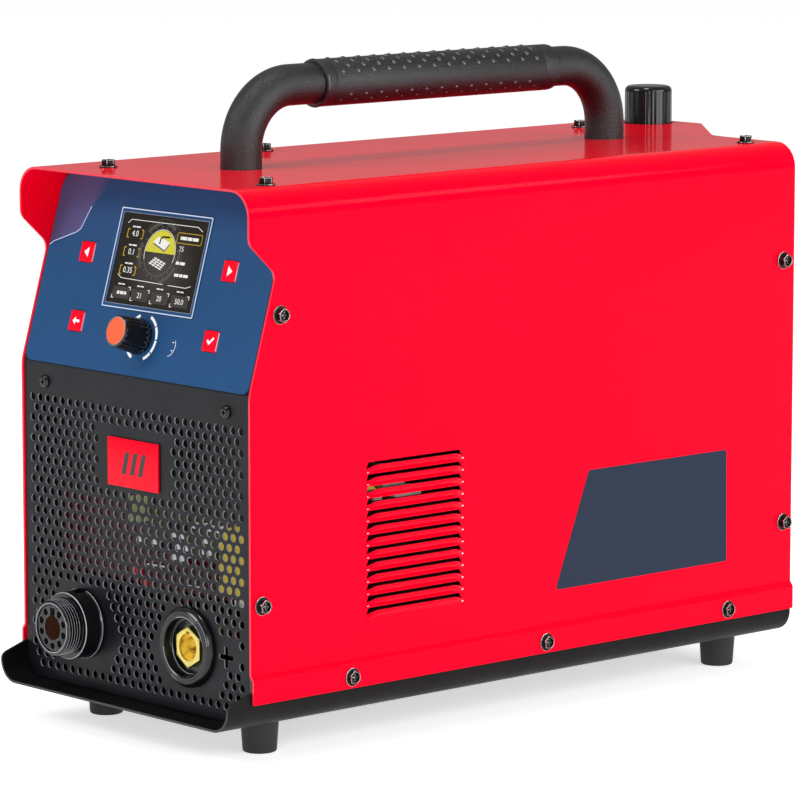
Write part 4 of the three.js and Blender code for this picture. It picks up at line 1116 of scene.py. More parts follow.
def dial(white, grey, dim, yellow):
    """A lit half disc with a plate being cut on it, a lattice below, and rings and ticks round it."""
    centre = Vector((0.0, 5.8))
    radius = 14.5
    yellow.shape(arc(radius - 0.5, 0, 180, 24, centre))
    white.line(arc(radius, -20, 200, 40, centre), 0.35)
    grey.line(arc(radius, 200, 340, 24, centre), 0.25)
    dim.line(arc(21, -35, 215, 40, centre), 0.3)
    for start, end in ((-78, -25), (-12, 12), (55, 82), (100, 140), (165, 215)):
        dim.line(arc(18.6, start, end, 12, centre), 2.2)
    for tick in range(20):
        a = radians(tick * 18 + 9)
        ray = Vector((cos(a), sin(a)))
        grey.line([centre + ray * (radius + 1.0), centre + ray * (radius + 2.5)], 0.3)
    plate = [Vector(p) for p in ((-8.2, 12.0), (4, 7.9), (8, 12.9), (-4, 15.8))]
    grey.shape([p + Vector((0.2, -1.2)) for p in plate], lift=PRINT)
    white.shape(plate, lift=1.8 * PRINT)

    left, top, right, bottom = (Vector(p) for p in ((-9.1, -1.3), (-3.4, 3.1), (8.1, 0), (3.7, -4.8)))
    for share in (0.12, 0.37, 0.63, 0.88):
        white.line([left.lerp(top, share), bottom.lerp(right, share)], 0.6)
        white.line([left.lerp(bottom, share), top.lerp(right, share)], 0.6)


def lcd_picture():
    white = Picture("lcd_marks_white", "lit_white")
    grey = Picture("lcd_marks_grey", "lit_grey")
    dim = Picture("lcd_marks_dim", "lit_dim")
    dark = Picture("lcd_marks_dark", "plastic")
    shade = Picture("lcd_cells", "lit_shade")
    yellow = Picture("lcd_marks_yellow", "lit_yellow")
    amber = Picture("lcd_marks_amber", "lit_amber")
    dial(white, grey, dim, yellow)
    torch = [(-1.7, 11.3), (-1.2, 14.7), (0.2, 15.8), (7, 16.0)]
    dark.solid.stroke(torch, 1.1, 3 * PRINT, 4 * PRINT)

    # Lines above and below the dial
    white.line([(-36, 21.8), (-33, 24.3), (31, 24.4), (36, 22)], 0.4)
    white.line([(-35.3, -10.2), (-31.8, -12.4), (9, -13.1)], 0.4)
    white.line([(14, -13.2), (31.2, -13.4), (35.5, -12)], 0.4)

    # Three values in square brackets on the left
    x, half_width, half_height, reach = -26.9, 14.9 / 2, 5.6 / 2, 1.7
    for key, text, y in (("a", "4.0", 15.7), ("b", "0.1", 4.2), ("c", "0.35", -7.3)):
        for side in (-1, 1):
            edge = x + side * half_width
            amber.line([(edge - side * reach, y + half_height), (edge, y + half_height - 0.4),
                        (edge, y - half_height + 0.4), (edge - side * reach, y - half_height)], 0.7)
        white.words(x, y + 4.3, (2.6, 4.2), 0.9)
        white.number(key, text, 5.2, x, y)

    # A mode box and three lines on the right
    amber.line(rectangle(23.5, 6.4, 1.2, (25.2, 16.6)), 0.45, closed=True)
    white.words(25.2, 16.6, (6.2, 4.2, 5.2), 2.0)
    white.number("d", "25", 4.6, 19.6, 9.8)
    white.words(21.4, 1.1, (3.2, 4.6), 1.8)
    white.words(24.4, -6.3, (4.2, 3.0, 4.4), 1.8)

    # Four cells below, three of them with a number
    cells = (("e", "", -28.7, -21.4), ("f", "21", -10.3, -21.8), ("g", "20", 8.6, -22.0),
             ("h", "50.0", 28.0, -22.2))
    for key, text, x, y in cells:
        shade.shape(rectangle(16.4, 7.2, 0, (x, y)), lift=-0.7 * PRINT)
        for side in (-1, 1):
            corner = Vector((x + side * 8.4, y + side * 3.8))
            white.line([corner - Vector((side * 2.0, 0)), corner, corner - Vector((0, side * 2.0))], 0.45)
        white.words(x - 1.0, -16.2, (3.0, 2.6), 0.8)
        if text:
            white.number(key, text, 4.8, x - 0.2, y - 0.2)
        else:
            white.words(x + 0.7, y - 0.2, (2.4, 3.2, 2.0), 1.9)
    for picture in (white, grey, dim, dark, shade, yellow, amber):
        picture.show()


def keys():
    """Square caps with crowned edges, each with a printed sign and a near-white strip on its right side, a
    painted highlight.
    """
    h = 3.2
    signs = {
        "button_left": [(-h * 0.8, 0), (h * 0.55, -h), (h * 0.55, h)],
        "button_right": [(h * 0.8, 0), (-h * 0.55, h), (-h * 0.55, -h)],
        "button_back": [(-3.4, 0), (-0.8, -2.4), (-0.8, -0.8), (3.2, -0.8), (3.2, 0.8), (-0.8, 0.8),
                        (-0.8, 2.4)],
        "button_select": [(-3.2, 0.0), (-2.2, 1.0), (-0.8, -0.4), (2.4, 2.8), (3.4, 1.8), (-0.8, -2.4)],
    }
    top = 1.35
    for name, (x, up, body) in KEYS.items():
        place = SLOPE @ shift(x, up, 0)
        solid = Solid(place).prism(rectangle(KEY_SIZE, KEY_SIZE, 0.8), (), -4.0, top)
        solid.prism(rectangle(KEY_SIZE + 2.8, KEY_SIZE + 2.8, 1.0), (), -4.0, -2.2)
        solid.prism(circle(1.8, 16), (), -6.0, -3.9)
        piece(name + "_cap", solid, "key", body, replaces=name, bevel=0.3)
        # A near-white strip on the key's right side: a painted highlight
        wall = rectangle(0.5, KEY_SIZE - 1.4, 0, (KEY_SIZE / 2 - 0.2, 0))
        piece(name + "_edge", Solid(place).prism(wall, (), 0.2, 1.3), "key_edge", body)
        piece(name + "_sign", Solid(place).prism(signs[name], (), top, top + PRINT), "print_white", body)


def encoder():
    place = SLOPE @ shift(0, ENCODER_UP, 0)
    low, length = 1.8, 21.5
    flutes = 18

    def fluted(a, height):
        depth = 0.085 - 0.055 * min(1.0, height / 14)
        return 1 - depth * abs(cos(a * flutes / 2)) ** 4 if height < length - 1.0 else 1.0

    knob = [(4.2, low), (10.9, low), (11.1, low + 0.4), (11.05, 4), (10.8, 8), (10.3, 13),
            (9.95, length - 1.2), (9.8, length - 0.9), (9.5, length - 0.25), (9.1, length), (8.4, length),
            (8.4, length - 1.4), (2.3, length - 1.4), (2.3, 5.5), (4.2, 5.5), (4.2, low)]
    piece("encoder_grip", Solid(place).lathe(knob, 144, swell=fluted), "gloss", "encoder",
          replaces="encoder_knob", smooth=40)
    rim = [(8.45, length - 0.6), (8.9, length), (8.95, length + 0.1), (8.45, length + 0.15),
           (8.45, length - 0.6)]
    piece("encoder_rim", Solid(place).lathe(rim, 64), "silver", "encoder")
    cap = [(0, length - 1.1), (8.2, length - 1.1), (8.4, length - 0.1), (8.1, length + 0.15),
           (6.0, length + 0.22), (0, length + 0.25)]
    piece("encoder_button", Solid(place).lathe(cap, 64), "orange", "encoder",
          replaces="encoder_cap")


# ---- Sockets, in the upright frame ----

TORCH = UPRIGHT @ shift(-SOCKET_X, SOCKET_Z, 0)
WORK = UPRIGHT @ shift(SOCKET_X, SOCKET_Z, 0)


def carve(obj, tool_solid):
    """Cuts a solid out of a finished piece."""
    bm = tool_solid.bm
    bmesh.ops.recalc_face_normals(bm, faces=bm.faces)
    tool = linked("tool", as_mesh("tool", tool_solid))
    cut = obj.modifiers.new("cut", "BOOLEAN")
    cut.object = tool
    cut.solver = "EXACT"
    final = final_mesh(obj)
    obj.modifiers.clear()
    obj.data = final
    final.shade_smooth()
    final.set_sharp_from_angle(angle=radians(30))
    bpy.data.objects.remove(tool)


def keyed_bore(radius, half, reach, steps):
    """A round bore with a slot on top: the slot's half width, and how far from the middle it reaches."""
    turn = degrees(asin(half / radius))
    return [*arc(radius, 90 + turn, 450 - turn, steps), (half, reach), (-half, reach)]


def torch_socket():
    """A threaded connector on a stepped base that is notched on top."""
    base, front = 14.4, 25.6
    turns = [base + 1.6 + k * 1.95 for k in range(5)]
    ridges = []
    for z in turns:
        ridges += [(16.4, z), (17.3, z + 0.45), (17.3, z + 0.95), (16.4, z + 1.4)]
    profile = [(15.0, -18), (17.8, -18), (17.8, 0.3), (21.4, 0.3), (21.8, 0.8), (21.8, 2.4), (21.2, 3.0),
               (20.9, base - 0.5), (20.4, base), (18.0, base), (17.8, base + 0.3), (16.4, base + 0.8),
               *ridges, (16.4, front - 0.3), (16.1, front), (15.0, front), (14.8, front - 0.3), (14.8, -12),
               (15.0, -12), (15.0, -18)]
    housing = piece("torch_connector_body", Solid(TORCH).lathe(profile, 96), "plastic",
                    replaces="torch_socket_housing", smooth=30)
    carve(housing, Solid(TORCH).prism(rectangle(8, 6, 0.4, (1, 21.3)), (), 0.9, 8.4))

    # Painted highlights: pale rings on the edges that catch the light, the base's, the threads' and the
    # mouth's
    lit_rims = Solid(TORCH).tube([(p.x, p.y, 2.2) for p in arc(21.8, 90 - 345, 75, 72)], 0.22, 8)
    lit_rims.lathe([(20.35, base - 0.3), (20.75, base - 0.55), (20.95, base - 0.3), (20.5, base + 0.08),
                (20.35, base - 0.3)], 72)
    for z in turns:
        crest = z + 0.7
        lit_rims.lathe([(17.2, crest - 0.22), (17.4, crest), (17.2, crest + 0.22), (17.2, crest - 0.22)], 72)
    lit_rims.lathe([(15.2, front - 0.1), (15.6, front - 0.1), (15.6, front + 0.1), (15.2, front + 0.1),
                (15.2, front - 0.1)], 72)
    piece("torch_connector_edges", lit_rims, "edge_grey")

    slot_half = 2.6
    keyed = keyed_bore(8.0, slot_half, 12.8, 32)
    spots = []
    for k in range(1, 10):
        a = radians(90 + 36 * k)
        spots.append((11.35 * cos(a), 11.35 * sin(a)))
    insert = Solid(TORCH)
    insert.prism(circle(14.5, 64), [keyed, *[circle(2.4, 20, spot) for spot in spots]], 17.0, front - 0.7)
    insert.prism(circle(14.5, 64), [keyed], 4.0, 17.0)
    insert.prism(circle(14.5, 64), (), -11.0, 4.0)
    # The insert's eased edges take the second finish, a painted highlight
    piece("torch_connector_insert", insert, ["face_grey", "edge_grey"],
          replaces="torch_socket_insert", bevel=0.22, edge_paint=1)
    # The bore's lining glows, a painted light
    liner = Solid(TORCH).lathe([(7.6, 4.2), (7.95, 4.2), (7.95, 24.2), (7.6, 24.2), (7.6, 4.2)], 48)
    carve(piece("torch_connector_liner", liner, "bore_brown"),
          Solid(TORCH).prism(rectangle(2 * slot_half, 6, 0, (0, 9.5)), (), 0, 30))

    pins = Solid(TORCH).lathe([(0, 4.1), (2.2, 4.1), (2.2, 13.6), (1.6, 14.8), (0, 15.2)], 32)
    ring = [(1.1, 17.1), (1.7, 17.1), (1.7, 21.4), (1.4, 21.8), (1.1, 21.4), (1.1, 17.1)]
    for x, y in spots:
        pins.lathe(ring, 16, shift(x, y))
    piece("torch_connector_pins", pins, "brass", replaces="torch_socket_pin")


def work_socket():
    profile = [(10.9, -24), (18.4, -24), (18.4, 0.3), (24.7, 0.3), (25.0, 0.7), (25.0, 1.8), (24.6, 2.8),
               (23.0, 4.3), (22.2, 4.8), (21.6, 4.8), (21.3, 4.55), (20.5, 4.55), (20.2, 4.8), (19.0, 4.8),
               (18.4, 4.4), (18.0, 0.6), (17.6, 0.0), (16.6, -0.2), (16.2, -0.6), (16.0, -3.2),
               (10.9, -3.4), (10.9, -24)]
    piece("work_connector_body", Solid(WORK).lathe(profile, 96), "plastic",
          replaces="work_socket_housing", smooth=30)
    # Painted highlights: pale arcs on the edges that catch the light
    lit_rims = Solid(WORK)
    glints = ((18.9, 20, 110, 4.72, 0.2), (18.9, 185, 250, 4.72, 0.2), (16.6, 180, 280, -0.3, 0.2),
              (22.9, 10, 80, 4.5, 0.16))
    for radius, start, end, height, thickness in glints:
        lit_rims.tube([(p.x, p.y, height) for p in arc(radius, start, end, 24)], thickness, 8)
    piece("work_connector_edges", lit_rims, "edge_grey")

    half = 1.7
    contact = Solid(WORK).prism(circle(12.9, 6, turn=30), [keyed_bore(8.2, half, 9.7, 40)], -22, 1.1)
    contact.prism(circle(12.9, 6, turn=30), (), -30, -22)
    contact.prism(circle(5, 24), (), -42, -30)
    piece("work_connector_contact", contact, "brass", replaces="work_socket_contact", bevel=0.6)
    rings = []
    for k in range(9):
        z = -20 + k * 2.2
        rings += [(7.9, z), (7.75, z + 1.1)]
    # The bore's lining glows in lighter and darker bands, a painted light
    bore = Solid(WORK).lathe([(8.15, -20), *rings, (7.9, -0.2), (8.15, -0.2), (8.15, -20)], 64)
    carve(piece("work_connector_bore", bore, "bore_brass"),
          Solid(WORK).prism(rectangle(2 * half, 5, 0, (0, 8.5)), (), -30, 5))


def badge():
    """A plain red plate with a simple pattern of slanted bars."""
    piece("badge", Solid(UPRIGHT).prism(rectangle(49, 30, 0.8, (0, 172)), (), 0.3, 1.3), "key",
          replaces="badge_plate", bevel=0.2)
    bars = Solid(UPRIGHT)
    lean = 4.0
    for x in (-9, -1, 7):
        bars.prism([(x - 2, 165), (x + 2, 165), (x + 2 + lean, 179), (x - 2 + lean, 179)], (), 1.3, 1.38)
    piece("badge_bars", bars, "plastic")


def side_labels():
    """A slate film behind the louvres on each side, its front edge slanted."""
    outline = rounded([(252, 77.7, 2), (407, 77.7, 2), (406, 151.5, 2), (281, 151.5, 3)])
    for side_name, side, _ in SIDES:
        low, high = sorted((side * SIDE_FACE, side * (SIDE_FACE + 0.25)))
        piece(f"side_label_{side_name}", Solid().prism(outline, (), low, high, SIDEWAYS), "label")


# ---- Air regulator ----


def gauge_ray(share):
    """The direction of a share of the gauge's scale, from its lower left round to its lower right."""
    a = radians(225 - 270 * share)
    return Vector((cos(a), sin(a)))


def gauge():
    place = MACHINE @ shift(REGULATOR_X, REGULATOR_Y + 14.3, 292) @ TO_BACK
    shell = [(0, 0), (13.4, 0), (14, 0.6), (14, 5.8), (13.6, 6.5), (12.9, 6.8), (12.6, 6.2), (12.6, 1.6),
             (0, 1.6)]
    piece("gauge_shell", Solid(place).lathe(shell, 72), "dark_steel",
          replaces="gauge_case")
    face = Solid(place).prism(circle(12.5, 64), (), 1.6, 1.9).painted(1)
    for tick in range(41):
        long = tick % 4 == 0
        ray = gauge_ray(tick / 40)
        face.stroke([ray * (10.2 if long else 11.0), ray * 11.9], 0.3 if long else 0.16, 1.9, 1.97)
    piece("gauge_face", face, ["white", "plastic"])
    for value in range(0, 11, 2):
        spot = gauge_ray(value / 10) * 8.4
        numeral(f"gauge_number_{value}", str(value), 2.6, place @ shift(spot.x, spot.y, 1.95), "plastic")
    needle = Solid(place).prism([(-0.9, -3.4), (0.9, -3.4), (0.25, 10.2), (-0.25, 10.2)], (), 2.6, 3.1)
    needle.lathe([(0, 2.0), (1.6, 2.0), (1.6, 3.5), (1.2, 3.9), (0, 3.9)], 24)
    piece("gauge_pointer_blade", needle, "plastic", "gauge_pointer",
          replaces="gauge_needle")
    lens = [(0, 4.6), (12.4, 4.6), (12.4, 5.5), (8, 5.85), (0, 6.0)]
    piece("gauge_lens", Solid(place).lathe(lens, 64), "glass", replaces="gauge_glass")


def regulator():
    place = MACHINE @ shift(REGULATOR_X, REGULATOR_Y, 0)
    low, top, radius = 328.0, 373.5, 16.4
    ribs = 24

    def ribbed(a, height):
        return 1 - 0.022 * (0.5 + 0.5 * cos(a * ribs)) ** 3 if low + 5 < height < top - 3 else 1.0

    knob = [(12.6, top - 12), (12.6, low), (radius, low), (radius, low + 4.5), (radius - 0.1, low + 6),
            (radius - 0.2, top - 4), (radius - 0.4, top - 2.6), (radius - 1.1, top - 1.2),
            (radius - 2.2, top - 0.3), (radius - 3.4, top), (0, top), (0, top - 9), (5.4, top - 9),
            (5.4, top - 12), (12.6, top - 12)]
    piece("regulator_cap", Solid(place).lathe(knob, 144, swell=ribbed), "gloss", "regulator_dial",
          replaces="regulator_knob", smooth=30)

    outline = rounded([(-20, -14, 6), (20, -14, 6), (20, 14, 6), (-20, 14, 6)], 12)
    body = Solid(place).prism(outline, (), 268, 316)
    body.lathe([(0, 315), (16.5, 315), (16.5, 325.5), (15.8, 327), (0, 327)], 64)
    body.lathe([(0, 326), (5, 326), (5, 357), (0, 357)], 24)
    body.lathe([(17.2, 273.0), (18.5, 273.0), (18.5, 269.0), (17.2, 269.0), (17.2, 273.0)], 64)
    piece("regulator_casting", body, "cast", replaces="regulator_body", bevel=0.6)

    top = 267.7
    low = top - 70
    bowl = [(0, low + 9), (4.4, low + 8), (5, low), (6.2, low + 0.3), (7.4, low + 3.4), (11, low + 5.6),
            (14.4, low + 10), (15.6, low + 15), (16, top - 14), (16.6, top - 12), (16.6, top), (13.6, top),
            (13.6, low + 16), (11, low + 12.4), (0, low + 11)]
    piece("air_filter_bowl", Solid(place).lathe(bowl, 64), "bowl", replaces="filter_bowl")
    core = [(0, top - 44), (7, top - 44), (7.4, top - 43), (7.4, top - 8), (5, top - 4), (0, top - 3)]
    piece("filter_element", Solid(place).lathe(core, 32), "white")
    gauge()


# ---- Rear panel ----


def ring_path(radius, centre, height, steps):
    """A closed round path for a wire."""
    angles = [2 * pi * k / steps for k in range(steps + 1)]
    return [(centre[0] + radius * cos(a), centre[1] + radius * sin(a), height) for a in angles]


def fan_guard():
    """Wire guard: rings on four bars, held by four screws."""
    place = REAR @ shift(FAN_X, -FAN_Z, 0)
    wire, ring_height, bar_height, screw_reach = 0.8, 1.9, 0.9, 74
    solid = Solid(place)
    for radius in (12, 21, 30, 39, 48, 57):
        solid.tube(ring_path(radius, (0, 0), ring_height, 64), wire, 8)
    rays = [Vector((cos(a), sin(a))) for a in (radians(45 + 90 * quarter) for quarter in range(4))]
    for ray in rays:
        solid.tube([(*(ray * reach), bar_height) for reach in (9, 58, 71)], wire, 8)
        solid.tube(ring_path(3.6, ray * screw_reach, bar_height, 24), wire, 8)
    piece("fan_wire_guard", solid, "steel", replaces="fan_guard", smooth=60)
    for index, ray in enumerate(rays):
        pan_screw(f"fan_screw_{index + 1}", place, shift(*(ray * screw_reach), 0.6))


def fan_rotor():
    """Hub and seven curved blades."""
    rear = REAR_Y - SHEET - 0.4 - 6
    front = rear - 26
    solid = Solid(MACHINE @ shift(FAN_X, 0, FAN_Z))
    hub = [(0, front), (19, front), (20, front + 1), (20, rear - 2), (18.4, rear), (0, rear)]
    solid.lathe(hub, 64, TO_BACK)
    for blade in range(7):
        start = 2 * pi * blade / 7
        rows = []
        for step in range(7):
            radius = 19 + 36 * step / 6
            points = []
            for chord in range(7):
                share = chord / 6
                sweep = 0.62 - 0.16 * step / 6
                a = start + sweep * (share - 0.5) + 0.12 * step / 6
                depth = front + 3 + (rear - front - 6) * share ** 1.25
                points.append((radius * cos(a), depth, radius * sin(a)))
            rows.append(points)
        solid.grid(rows)

    # Blades get thickness by a second skin a little behind the first
    bm = solid.bm
    blades = [f for f in bm.faces if any(len(e.link_faces) == 1 for e in f.edges) or not is_hub(f)]
    bmesh.ops.recalc_face_normals(bm, faces=blades)
    bmesh.ops.solidify(bm, geom=blades, thickness=1.3)
    piece("fan_impeller", solid, "plastic", "fan", replaces="fan_rotor", smooth=50)


def is_hub(face):
    centre = face.calc_center_median()
    return hypot(centre.x, centre.z) < 18.9 or all(abs(hypot(v.co.x, v.co.z) - 20) < 1.7 for v in face.verts)


def on_rear(low, high):
    """The place on the rear panel that a CAD node with that box stands out from."""
    centre = (low + high) / 2
    return Matrix.Translation((centre.x, REAR_Y * MM + COVER_LOW.y, centre.z)) @ Matrix.Scale(MM, 4) @ TO_BACK


def power_switch():
    opening = rectangle(20.8, 30.8, 1.0)
    bezel = Solid(on_rear(*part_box("power_switch_body")))
    bezel.prism(rectangle(30, 40, 2.0), [opening], 0.3, 2.5)
    bezel.prism(rectangle(26, 36, 1.0), [opening], -12, 0.4)
    bezel.prism(rectangle(26, 36, 1.0), (), -26, -12)
    piece("switch_frame", bezel, "plastic", replaces="power_switch_body", bevel=0.5)


def cable_entry():
    """Ribbed clamping nut and hexagon base of the gland."""
    def ribbed(a, height):
        return 1 - 0.035 * (0.5 + 0.5 * cos(a * 12)) ** 2 if height < 17.5 else 1.0

    bore = circle(6, 40)
    solid = Solid(on_rear(*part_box("cable_gland"))).prism(circle(15.6, 6, turn=30), [bore], 0.3, 7)
    solid.prism(circle(10, 48), [bore], -10, 0.3)
    solid.lathe([(6, 7), (12.6, 7), (13.3, 8), (13.3, 16.6), (12.8, 18), (10.6, 22.4), (9.4, 23.8), (6.6, 24),
                 (6, 23.4), (6, 7)], 96, swell=ribbed)
    piece("cable_gland_nut", solid, "plastic", replaces="cable_gland", bevel=0.25)


# ---- Parts behind the perforations and the louvres ----


def standing_can(solid, x, y, z, radius, height):
    """An electrolytic capacitor with a beaded top."""
    solid.lathe([(0, 0), (radius - 0.5, 0), (radius, 0.6), (radius, 2.4), (radius - 0.7, 3.2), (radius, 4.0),
                 (radius, height - 0.8), (radius - 0.7, height), (radius - 1.4, height - 0.3),
                 (0, height - 0.3)], 32, shift(x, y, z) @ TO_FRONT)


def filter_board():
    """A small board behind the badge: film blocks, cans, varistors and a terminal strip on its front."""
    front, face = 9, 21.9
    holes = [circle(1.6, 16, spot) for spot in ((-18, 119), (68, 151), (-98, 97), (66, 97))]
    # The board, the shield, the leads, the film blocks and the fuse glow faintly, a painted light, so that
    # they show through the holes
    board = Solid().prism(rectangle(94, 40, 2, (25, 135)), holes[:2], 22, 23.6, FACING)
    piece("filter_board", board, "olive_card")
    shield = Solid().prism(rectangle(175, 62, 3, (-15.5, 123)), holes[2:], 26, 27, FACING)
    piece("front_shield", shield, "red_card")
    leads = Solid()
    for x, z in ((1, 109), (40, 101)):
        leads.tube([(x, 10, z), (x + 16, 10, z + 0.5)], 0.5, 8)
    piece("filter_leads", leads, "film_block")
    films = Solid()
    rows = {139: (47, 62, 70), 131: (28, 36, 58), 124: (-5, 9, 32, 40, 56, 62), 117: (28, 35)}
    for z, columns in rows.items():
        for x in columns:
            films.prism(rectangle(2.6, 3.4, 0.8, (x, z)), (), front, 12, FACING)
            films.tube([(x, 11.8, z), (x, face, z)], 0.35, 6)
    fuse = Solid().prism(rectangle(2.2, 17, 0.5, (-13.2, 141.5)), (), front, face, FACING)
    piece("filter_fuse", fuse, "fuse_green", bevel=0.3)
    piece("film_capacitors", films, "film_block", bevel=0.3)
    cans = Solid()
    for x, z, radius in ((22, 134, 3.6), (61, 121, 3.4), (8, 120, 3.2)):
        standing_can(cans, x, face, z, radius, 13)
    piece("filter_cans", cans, "ferrite")
    discs = Solid()
    for x, z in ((-13, 103), (-6, 97)):
        discs.lathe([(0, 0), (3.4, 0), (4.0, 0.6), (4.0, 3.0), (3.4, 3.6), (0, 3.6)], 24,
                    shift(x, 16, z) @ TO_FRONT)
        discs.tube([(x - 1.5, 15, z), (x - 1.5, face, z)], 0.4, 8)
    piece("varistors", discs, "wire_red")
    wells = [circle(2.2, 16, (14 + 9 * k, 105)) for k in range(7)]
    strip = Solid().prism(rectangle(64, 14, 1, (41, 105)), wells, 18, face, FACING)
    piece("terminal_strip", strip, "deep_red", bevel=0.4)


def taped_coil():
    """A coil block wrapped in tape with its bobbin's flange, and a ceramic resistor below it."""
    # The tape glows faintly, a painted light, so that it shows through the holes
    coil = Solid().prism(rectangle(28, 40, 3.0, (87.5, 121)), (), 7, 58, FACING)
    piece("taped_coil", coil, "tape_lit", bevel=1.0)
    window = rectangle(8, 16, 1, (91, 116))
    bobbin = Solid().prism(rectangle(24, 30, 2.0, (91, 116)), [window], 58.6, 60.6, FACING)
    piece("coil_bobbin", bobbin, "plastic", bevel=0.3)
    resistor = Solid().prism(rectangle(13, 6, 0.8, (93, 96)), (), 8, 20, FACING)
    for x in (88, 98):
        resistor.tube([(x, 20, 96), (x, 24, 96), (x, 25, 93)], 0.45, 8)
    piece("ceramic_resistor", resistor, "white", bevel=0.5)


def add_card(solid, low, high, holes, depth, place):
    """A card between two corners, its own corners rounded, with small holes for its rivets."""
    outline = rounded([(*low, 4), (high[0], low[1], 4), (*high, 4), (low[0], high[1], 4)])
    return solid.prism(outline, [circle(2, 16, spot) for spot in holes], *depth, place)


def insulation_cards():
    """Cards that line both walls behind the louvres, and one across behind the sloping panel. The right
    wall's card is near black, a painted shade behind the lower louvres.
    """
    card = add_card(Solid(), (3.2, 56), (214, 206), ((68, 76), (206, 198)), (-105.6, -104.8), SIDEWAYS)
    add_card(card, (-104, 143), (103.5, 226), ((-98, 150), (98, 150)), (21.0, 21.8), FACING)
    piece("insulation_cards", card, "card", bevel=0.15)
    # A near-black sheet on the right wall: painted shade seen through the lower louvres
    dark = add_card(Solid(), (64, 56), (214, 150), ((72, 64), (206, 142)), (104.8, 105.6), SIDEWAYS)
    piece("louvre_shade_sheet", dark, "dark_card", bevel=0.15)


def gate_board():
    """A small board on posts above the transformer, with film blocks and a wound ring."""
    base = Solid().prism(rectangle(42, 64, 2, (74, 136)), (), 146, 147.6)
    post = [(0, 0), (2.4, 0), (2.4, 17.2), (1.4, 17.2), (1.4, 17.9), (0, 17.9)]
    for x in (58, 90):
        for y in (110, 162):
            base.lathe(post, 12, shift(x, y, 128.3))
    piece("gate_board", base, "card")
    films = Solid()
    for x, y, width, length in ((84, 146, 12, 22), (66, 150, 12, 18), (86, 120, 9, 8)):
        films.prism(rectangle(width, length, 1.2, (x, y)), (), 147.7, 153)
    piece("gate_capacitors", films, "white", bevel=0.6)
    loop = [(p.x, p.y, 151) for p in arc(7, 0, 360, 32, (72, 122))]
    piece("gate_ring", Solid().tube(loop, 2.8, 12), "tape_lit")


# ---- CAD nodes that stay, with eased edges ----

DRESSED = {
    "rear_panel": ("black", 0.25),
    "lcd_module": ("plastic", 0.3),
    "control_board": ("board", 0.1),
    "encoder_body": ("silver", 0.2),
    "encoder_shaft": ("steel", 0.1),
    "torch_socket_nut": ("plastic", 0.4),
    "work_socket_nut": ("brass", 0.4),
    "regulator_bracket": ("steel", 0.3),
    "air_inlet": ("brass", 0.3),
    "air_elbow": ("brass", 0.6),
    "air_hose": ("hose", 0.0),
    "solenoid_valve": ("brass", 0.5),
    "chassis_plate": ("steel", 0.3),
    "heatsink": ("aluminium", 0.2),
    "power_board": ("board", 0.3),
    "transformer_core": ("ferrite", 0.5),
    "transformer_winding": ("tape", 1.0),
    "choke": ("tape", 0.0),
    "fan_frame": ("plastic", 0.5),
    "power_switch_rocker": ("key", 0.5),
}


def dress():
    for name, (material, bevel) in DRESSED.items():
        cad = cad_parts[name]
        cad.data.materials.clear()
        cad.data.materials.append(F[material])
        weld = cad.modifiers.new("weld", "WELD")
        weld.merge_threshold = 0.002 * MM
        if bevel:
            ease(cad, bevel)


# ---- Stage ----

WORLD_HORIZON, WORLD_ZENITH = 0.27, 0.48
FLOOR_HALF = 30.0
# Position, target, size in metres and power in watts
LIGHTS = {
    "key_light": ((3.4, 0.6, 1.2), (0, 0, 0.2), 2.6, 80),
    "front_light": ((-1.3, -2.8, 2.4), (0, 0, 0.3), 1.3, 44),
    "visor_light": ((1.9, -2.6, 0.75), (0, -0.2, 0.3), 0.8, 20),
    "rim_light": ((2.1, 1.8, 1.4), (0, 0, 0.3), 0.7, 10),
    "top_light": ((0.2, -0.4, 2.8), (0, 0, 0.2), 0.6, 22),
}


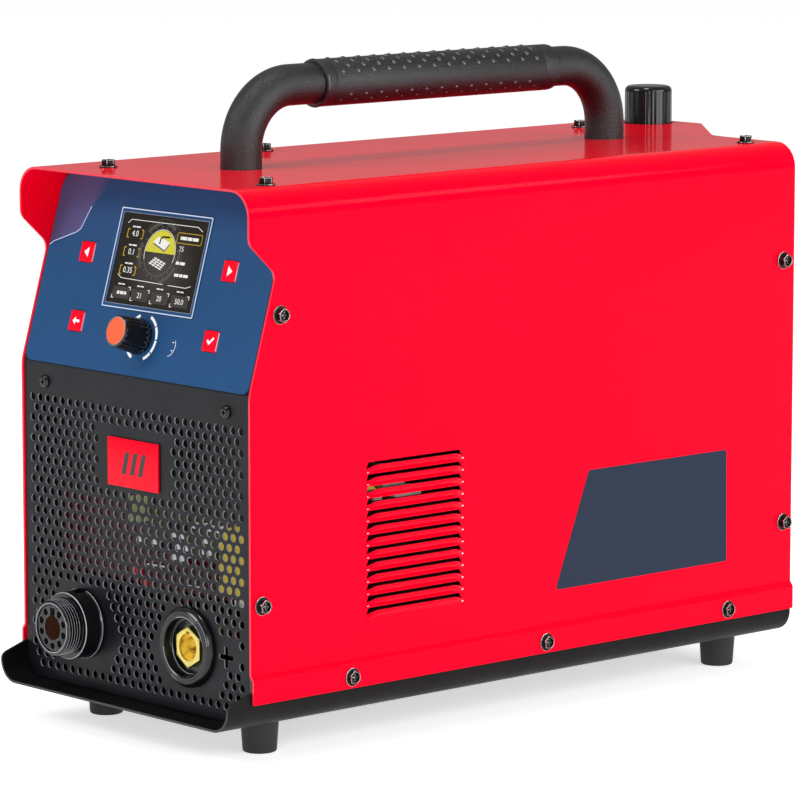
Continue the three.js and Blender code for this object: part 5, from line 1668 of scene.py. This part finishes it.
def stage():
    mesh = bpy.data.meshes.new("floor")
    h = FLOOR_HALF
    mesh.from_pydata([(-h, -h, 0), (h, -h, 0), (h, h, 0), (-h, h, 0)], [], [(0, 1, 2, 3)])
    paper = bpy.data.materials.new("paper")
    paper.use_nodes = True
    shader = paper.node_tree.nodes["Principled BSDF"]
    shader.inputs["Base Color"].default_value = (0.9, 0.9, 0.9, 1)
    shader.inputs["Roughness"].default_value = 0.8
    shader.inputs["Emission Color"].default_value = (1, 1, 1, 1)
    shader.inputs["Emission Strength"].default_value = 0.6
    mesh.materials.append(paper)
    floor = linked("floor", mesh)

    world = bpy.data.worlds.new("studio")
    bpy.context.scene.world = world
    world.use_nodes = True
    tree = world.node_tree
    background = tree.nodes["Background"]
    background.inputs["Color"].default_value = (1, 1, 1, 1)
    around = tree.nodes.new("ShaderNodeTexCoord").outputs["Generated"]
    parts = node(tree, "SeparateXYZ", {}, {"Vector": around})
    height = node(tree, "MapRange", {"From Min": 0.0, "From Max": 1.0, "To Min": WORLD_HORIZON,
                                     "To Max": WORLD_ZENITH}, {"Value": parts.outputs["Z"]})
    tree.links.new(height.outputs["Result"], background.inputs["Strength"])
    for name, (position, target, size, power) in LIGHTS.items():
        data = bpy.data.lights.new(name, "AREA")
        data.size = size
        data.energy = power
        aim(linked(name, data), Vector(position), Vector(target) - Vector(position))


def aim(obj, position, direction):
    """Puts a light or a camera in its place, looking along the direction."""
    obj.location = position
    obj.rotation_mode = "QUATERNION"
    obj.rotation_quaternion = direction.to_track_quat("-Z", "Y")


CAMERA_AZIMUTH = radians(48.0323)
CAMERA_ELEVATION = radians(8.3441)
CAMERA_DISTANCE = 3.1398
CAMERA_TARGET = Vector((-0.0665, 0.0280, 0.1772))
CAMERA_LENS = 213.7483


def camera():
    a, e = CAMERA_AZIMUTH, CAMERA_ELEVATION
    back = Vector((sin(a) * cos(e), -cos(a) * cos(e), sin(e)))
    data = bpy.data.cameras.new("camera")
    data.sensor_width = 36
    data.lens = CAMERA_LENS
    data.clip_end = 100
    viewer = linked("camera", data)
    aim(viewer, CAMERA_TARGET + back * CAMERA_DISTANCE, -back)
    bpy.context.scene.camera = viewer


bpy.context.scene.view_settings.view_transform = "Standard"

PARTS = (camera, stage, cover, tray, front_panel, screws, handle, grip, feet, overlay, lcd_frame, lcd_picture,
         keys, encoder, torch_socket, work_socket, badge, side_labels, regulator, fan_guard, fan_rotor,
         power_switch, cable_entry, filter_board, taped_coil, insulation_cards, gate_board, dress)
for make in PARTS:
    make()
